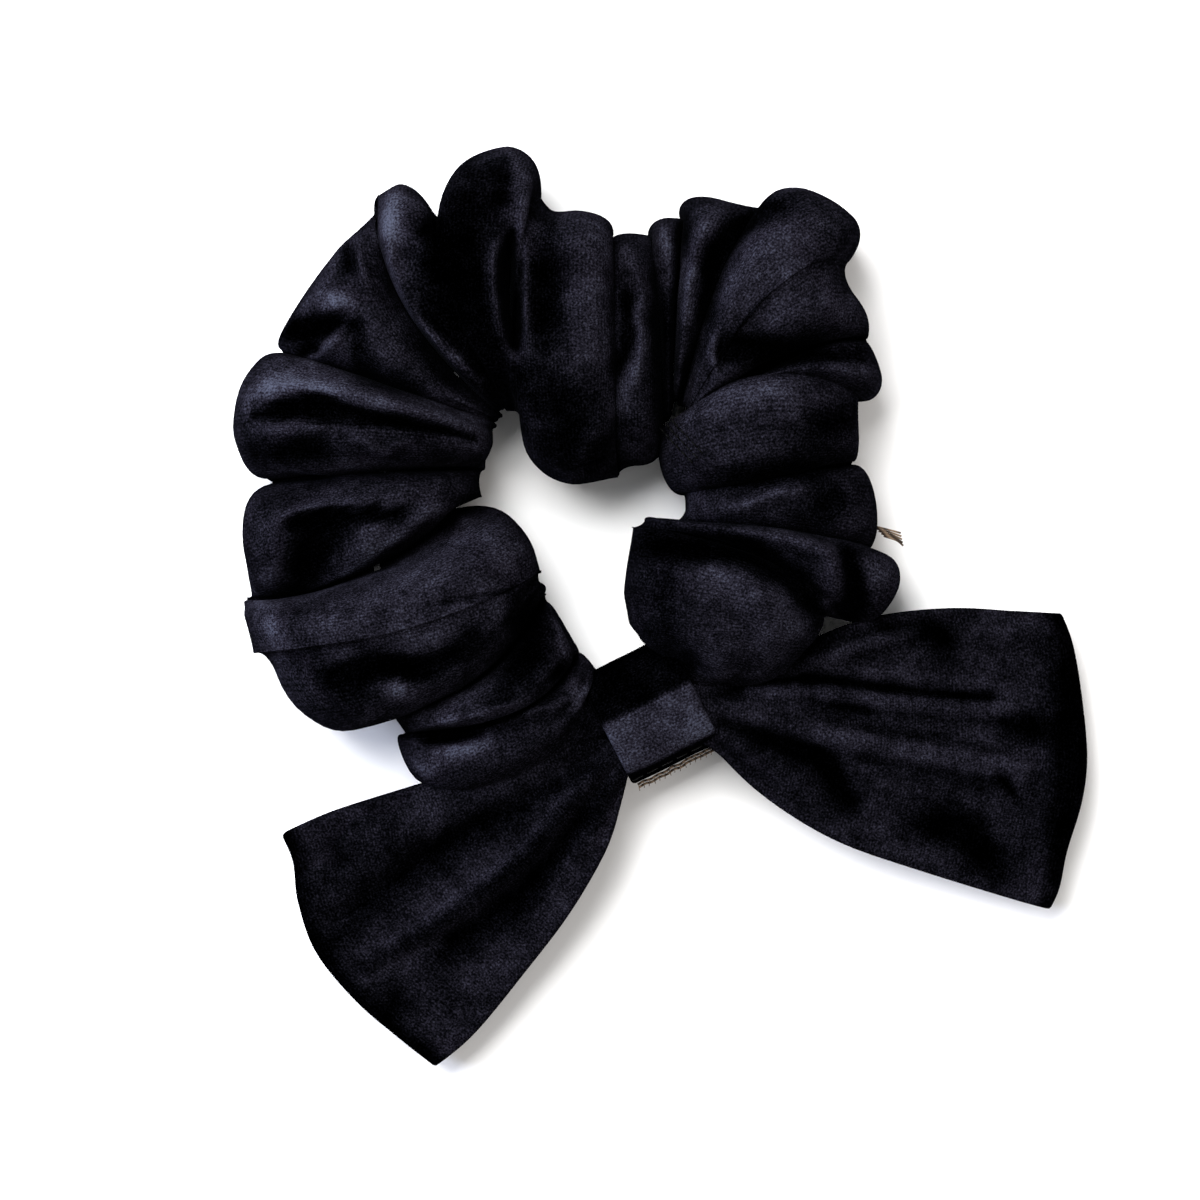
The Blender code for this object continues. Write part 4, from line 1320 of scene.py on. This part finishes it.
RIGHT_LOOP = BowLoop(
    "bow_right_loop", "right_loop",
    upper_side=(
        (20, -24), (26, -23.4), (33, -20.8), (41, -16.8), (50, -13.6), (62, -12.2), (72, -12.6), (80, -13),
    ),
    lower_side=(
        (21.6, -32.6), (25.4, -35.4), (30.6, -40.6), (38, -46), (46, -50.2), (58, -54.4), (70, -58.2),
        (78.2, -60.6),
    ),
    far_fold=(
        (80, -13), (82, -18.5), (83.4, -27), (84.2, -36), (83.4, -43), (81, -51), (79.8, -57), (78.2, -60.6),
    ),
    # Each stroke's last number paints highlight where above 0 and shade where below 0, such as the dark far
    # edge.
    strokes=(
        Stroke(
            ((27, -24.6), (34, -23.6), (42, -23.8), (52, -25.2), (60, -26.2), (68, -26.6)), 1.4, -1.8, -0.48
        ),
        Stroke(((30, -25.4), (40, -25.4), (50, -26.8), (60, -27.8), (71, -28.3)), 1.0, 1.2, 0.22),
        Stroke(((24, -28.6), (35, -31), (43, -32.6), (52, -34.5), (62, -36), (73, -38.2)), 1.6, 1.5, 0.24),
        Stroke(((26, -30.6), (35, -33.6), (41, -36.6), (45.5, -42)), 2.6, -1.9, -0.55),
        Stroke(((27, -22.4), (35, -19.4), (44, -15.6)), 1.7, -1.0, -0.42),
        Stroke(((33, -23.2), (40, -21), (47, -18.4), (56, -16)), 0.8, 0.8, 0.14),
        Stroke(((51, -15), (60, -16.5), (60, -19)), 2.0, -0.4, -0.34),
        Stroke(((43, -27.6), (49, -28)), 1.6, -0.5, -0.36),
        Stroke(((56, -46.5), (64, -48), (69, -54)), 3.2, -1.0, -0.5),
        Stroke(((69, -30), (77, -32)), 2.6, -0.5, -0.4),
        Stroke(((69, -37.6), (72.5, -43)), 0.9, -0.5, -0.24),
        Stroke(((79.5, -17), (80.5, -33), (78.5, -54)), 2.2, 0.0, -0.5),
        Stroke(((40, -26.6), (38, -22)), 1.5, -0.5, -0.2),
    ),
)


@dataclass
class BowMiddle:
    """The bow's pleated waist and its binding thread, and the short band that holds it to the ring's neck.

    Attributes:
        belt: The middle of the band's cloth, as distance from the ring's centre and height, from its hidden
            start under the lap, down and under the neck, up through the hole, over the top and down to its
            cut end.
        low, high: Where the band starts and ends along the bow.
        thickness: Of the band's two layers.
        waist_out, waist_height: Middle of the waist.
        waist_radius: Radius of the pleated waist.
    """

    belt: tuple = (
        (37.2, 12.6), (38.0, 9.0), (37.0, 5.4), (34.0, 3.4), (28.5, 2.9), (24.6, 4.3), (22.7, 8.2),
        (23.6, 12.2), (26.2, 15.6), (29.4, 17.3), (30.6, 17.55), (34.0, 17.2), (37.0, 16.7), (38.3, 16.1),
        (39.0, 14.7), (39.7, 11.2), (40.6, 8.0),
    )
    low: float = -7.6
    high: float = 6.8
    thickness: float = 1.3
    waist_out: float = 34.9
    waist_height: float = 10.8
    waist_radius: float = 3.3

    def band(self) -> bpy.types.Object:
        """The band, whose lap comes down over its outer side."""
        path = smooth_line(np.array(self.belt), 170)
        along = np.linspace(self.low, self.high, 44)
        out, height = path[:, :1], path[:, 1:]
        curl = 0.25 * np.abs(2 * (along - self.low) / (self.high - self.low) - 1) ** 6
        points = PLAN.beside_bow(along, out, height - curl)
        flat = flat_map(points)
        u, v = flat[..., 0], flat[..., 1]
        points = points + surface_normals(points) * (0.16 * value_noise(u / 6, v / 5, 31))[..., None]
        # Painted highlight on the band's flat top face; the rest of the band is painted nearly black as shade.
        lit = ease((out - 29.6) / 1.2) * ease((39.0 - out) / 0.6) * (height > 13)
        nap = np.broadcast_to(0.04 + 0.82 * lit, points.shape[:2])
        piece = thick_sheet("centre_band_velvet", points, nap, self.thickness)
        piece.data.materials.append(VELVET.material())
        declare(piece, "bow_band", "velvet", "centre_band")
        return piece

    def cut_edge(self) -> None:
        """The light yarn of the band's two cut layers along its end, and the stitches that hold the lap."""
        along = np.linspace(self.low + 0.1, self.high - 0.5, 60)
        waver = 0.12 * value_noise(along / 1.3, np.zeros_like(along), 41)
        layers = [
            PLAN.beside_bow(along, out + waver, height + 0.5 * waver)
            for out, height in ((42.0, 7.7), (41.5, 8.1), (40.9, 7.2))
        ]
        yarn = path_object("band_cut_edge", layers)
        CORDS.run(yarn, radius=0.19 * MM, material=CUT_EDGE.material())
        declare(yarn, "bow_band", "thread")
        fray = path_object("band_cut_edge_fray", [layers[0] + (0, 0, -0.1)])
        STITCHES.run(
            fray, spacing=0.9 * MM, length=1.1 * MM, radius=0.06 * MM, slant=1.2, material=CUT_EDGE.material()
        )
        declare(fray, "bow_band", "thread")
        lap = PLAN.beside_bow(np.linspace(self.low + 0.6, self.high - 0.6, 40), 40.3, 11.4)
        row = path_object("band_lap_stitches", [lap])
        STITCHES.run(
            row, spacing=2.4 * MM, length=1.7 * MM, radius=0.18 * MM, slant=0.0,
            material=SEWING_THREAD.material(),
        )
        declare(row, "bow_band", "thread", "centre_band_stitches")

    def waist(self) -> bpy.types.Object:
        """The waist, a strip laid to and fro in narrow pleats inside a round."""
        layers = 9
        outermost = self.waist_radius - self.thickness / 2
        folds = []
        for layer, side in enumerate(np.linspace(-outermost, outermost, layers)):
            reach = math.sqrt(max(self.waist_radius**2 - side**2, 0.5)) - 0.3
            ends = (-reach, reach) if layer % 2 == 0 else (reach, -reach)
            folds.extend([(side, ends[0]), (side, ends[1])])
        path = smooth_line(np.array(folds), 16 * len(folds))
        along = np.linspace(-6.8, 6.4, 12)
        points = PLAN.beside_bow(along, self.waist_out + path[:, :1], self.waist_height + path[:, 1:])
        piece = thick_sheet("bow_waist_pleats", points, np.full(points.shape[:2], 0.4), 0.45, 1)
        piece.data.materials.append(VELVET.material())
        declare(piece, "bow_band", "velvet", "bow_waist")
        return piece

    def binding(self) -> None:
        """The thread wound round the waist."""
        turns, steps = 6, 190
        turn = np.linspace(0, 2 * math.pi * turns, steps)
        radius = self.waist_radius + 0.35
        out, height = self.waist_out + radius * np.cos(turn), self.waist_height + radius * np.sin(turn)
        coil = PLAN.beside_bow(np.linspace(-1.8, 1.8, steps), out, height)
        thread = path_object("waist_binding", [coil])
        CORDS.run(thread, radius=0.24 * MM, material=SEWING_THREAD.material())
        declare(thread, "bow_band", "thread", "waist_binding_thread")

    def build(self) -> list[bpy.types.Object]:
        """Makes the waist, its binding, the band and its cut edge."""
        waist = self.waist()
        self.binding()
        band = self.band()
        self.cut_edge()
        return [waist, band]


@dataclass(frozen=True)
class Lint:
    """The pale lint that velvet picks up.

    Attributes:
        per_square_metre: How many fibres lie on each square metre.
        length: Length of a fibre.
        radius: Its radius.
    """

    per_square_metre: float = 12000.0
    length: float = 1.3
    radius: float = 0.13

    def drop(self, piece: bpy.types.Object, body: str, seed: int) -> None:
        """Drops lint on one piece."""
        lint = bpy.data.objects.new(piece.name + "_lint", piece.data.copy())
        bpy.context.scene.collection.objects.link(lint)
        FIBRES.run(
            lint, density=self.per_square_metre, length=self.length * MM, radius=self.radius * MM, seed=seed,
            material=LINT.material(),
        )
        declare(lint, body, "thread")


# ---------------------------------------------------------------- studio


@dataclass
class Studio:
    """The pale floor, the soft lights and the camera straight above.

    Attributes:
        view: Middle of the view in the plan.
        frame_width: Width of what the camera sees at the table, in millimetres.
        lens: Focal length, in millimetres.
        sensor: Width of the camera's sensor, in millimetres.
    """

    view: tuple[float, float] = (5.9, -10.9)
    frame_width: float = 194.0
    lens: float = 135.0
    sensor: float = 36.0

    def floor(self) -> None:
        """Lays a plain pale floor."""
        bpy.ops.mesh.primitive_plane_add(size=6, location=(0, 0, 0))
        floor = bpy.context.active_object
        floor.name = "floor"
        material, _, shader, _ = new_material("pale_floor")
        shader.inputs["Base Color"].default_value = linear("#F8F8F8")
        shader.inputs["Roughness"].default_value = 0.9
        floor.data.materials.append(material)

    def light(self, name: str, place: tuple, size: float, power: float, colour: str) -> None:
        """Hangs one square soft light that faces the object.

        Args:
            name: The light's name.
            place: Where it hangs, in metres.
            size: Length of its side, in metres.
            power: Its power in watts.
            colour: Its colour.
        """
        data = bpy.data.lights.new(name, "AREA")
        data.size, data.energy, data.color = size, power, linear(colour)[:3]
        lamp = bpy.data.objects.new(name, data)
        bpy.context.scene.collection.objects.link(lamp)
        lamp.location = place
        lamp.rotation_euler = (-Vector(place)).to_track_quat("-Z", "Y").to_euler()

    def camera(self) -> None:
        """Sets the camera straight above the object."""
        data = bpy.data.cameras.new("camera")
        data.lens, data.sensor_width = self.lens, self.sensor
        data.clip_start = 0.01
        camera = bpy.data.objects.new("camera", data)
        bpy.context.scene.collection.objects.link(camera)
        middle = PLAN.to_frame([(*self.view, 0)])[0]
        distance = self.frame_width * MM * self.lens / self.sensor
        camera.location = (middle[0], middle[1], distance)
        bpy.context.scene.camera = camera

    def build(self) -> None:
        """Sets up the floor, the lights, the surroundings and the camera."""
        bpy.context.scene.view_settings.view_transform = "Standard"
        self.floor()
        self.light("key_softbox", (-0.3, 0.4, 0.75), 0.6, 17.0, "#FFFFFF")
        self.light("left_window", (-0.8, 0.1, 0.35), 0.35, 7.0, "#D2DCFA")
        self.light("right_fill", (0.7, -0.3, 0.5), 0.6, 3.0, "#FFF6EE")
        world = bpy.data.worlds.new("studio")
        world.use_nodes = True
        background = world.node_tree.nodes["Background"]
        background.inputs["Color"].default_value = linear("#FFFFFF")
        background.inputs["Strength"].default_value = 0.45
        bpy.context.scene.world = world
        self.camera()


# ---------------------------------------------------------------- all together

CORDS = CordTool()
STITCHES = StitchTool()
FIBRES = LintTool()


def dress_hidden_nodes() -> None:
    """Gives the elastic and its joining thread, which keep their CAD shapes in the cover, their finishes."""
    for name, finish in (("elastic_band", WovenElastic()), ("elastic_join_thread", SEWING_THREAD)):
        node = frame["nodes"][name]
        node.data.materials.clear()
        node.data.materials.append(finish.material())


def main() -> None:
    """Builds the studio and every piece, in order."""
    logging.basicConfig(level=logging.INFO, format="%(name)s: %(message)s")
    Studio().build()
    dress_hidden_nodes()
    cover = GatheredCover(COVER_FOLDS, COVER_STROKES).build()
    _, band = BowMiddle().build()
    left, right = LEFT_LOOP.build(), RIGHT_LOOP.build()
    for seed, (piece, body) in enumerate(
        ((cover, "ring"), (band, "bow_band"), (left, "left_loop"), (right, "right_loop")), start=11
    ):
        Lint().drop(piece, body, seed)


if __name__ == "__main__":
    main()
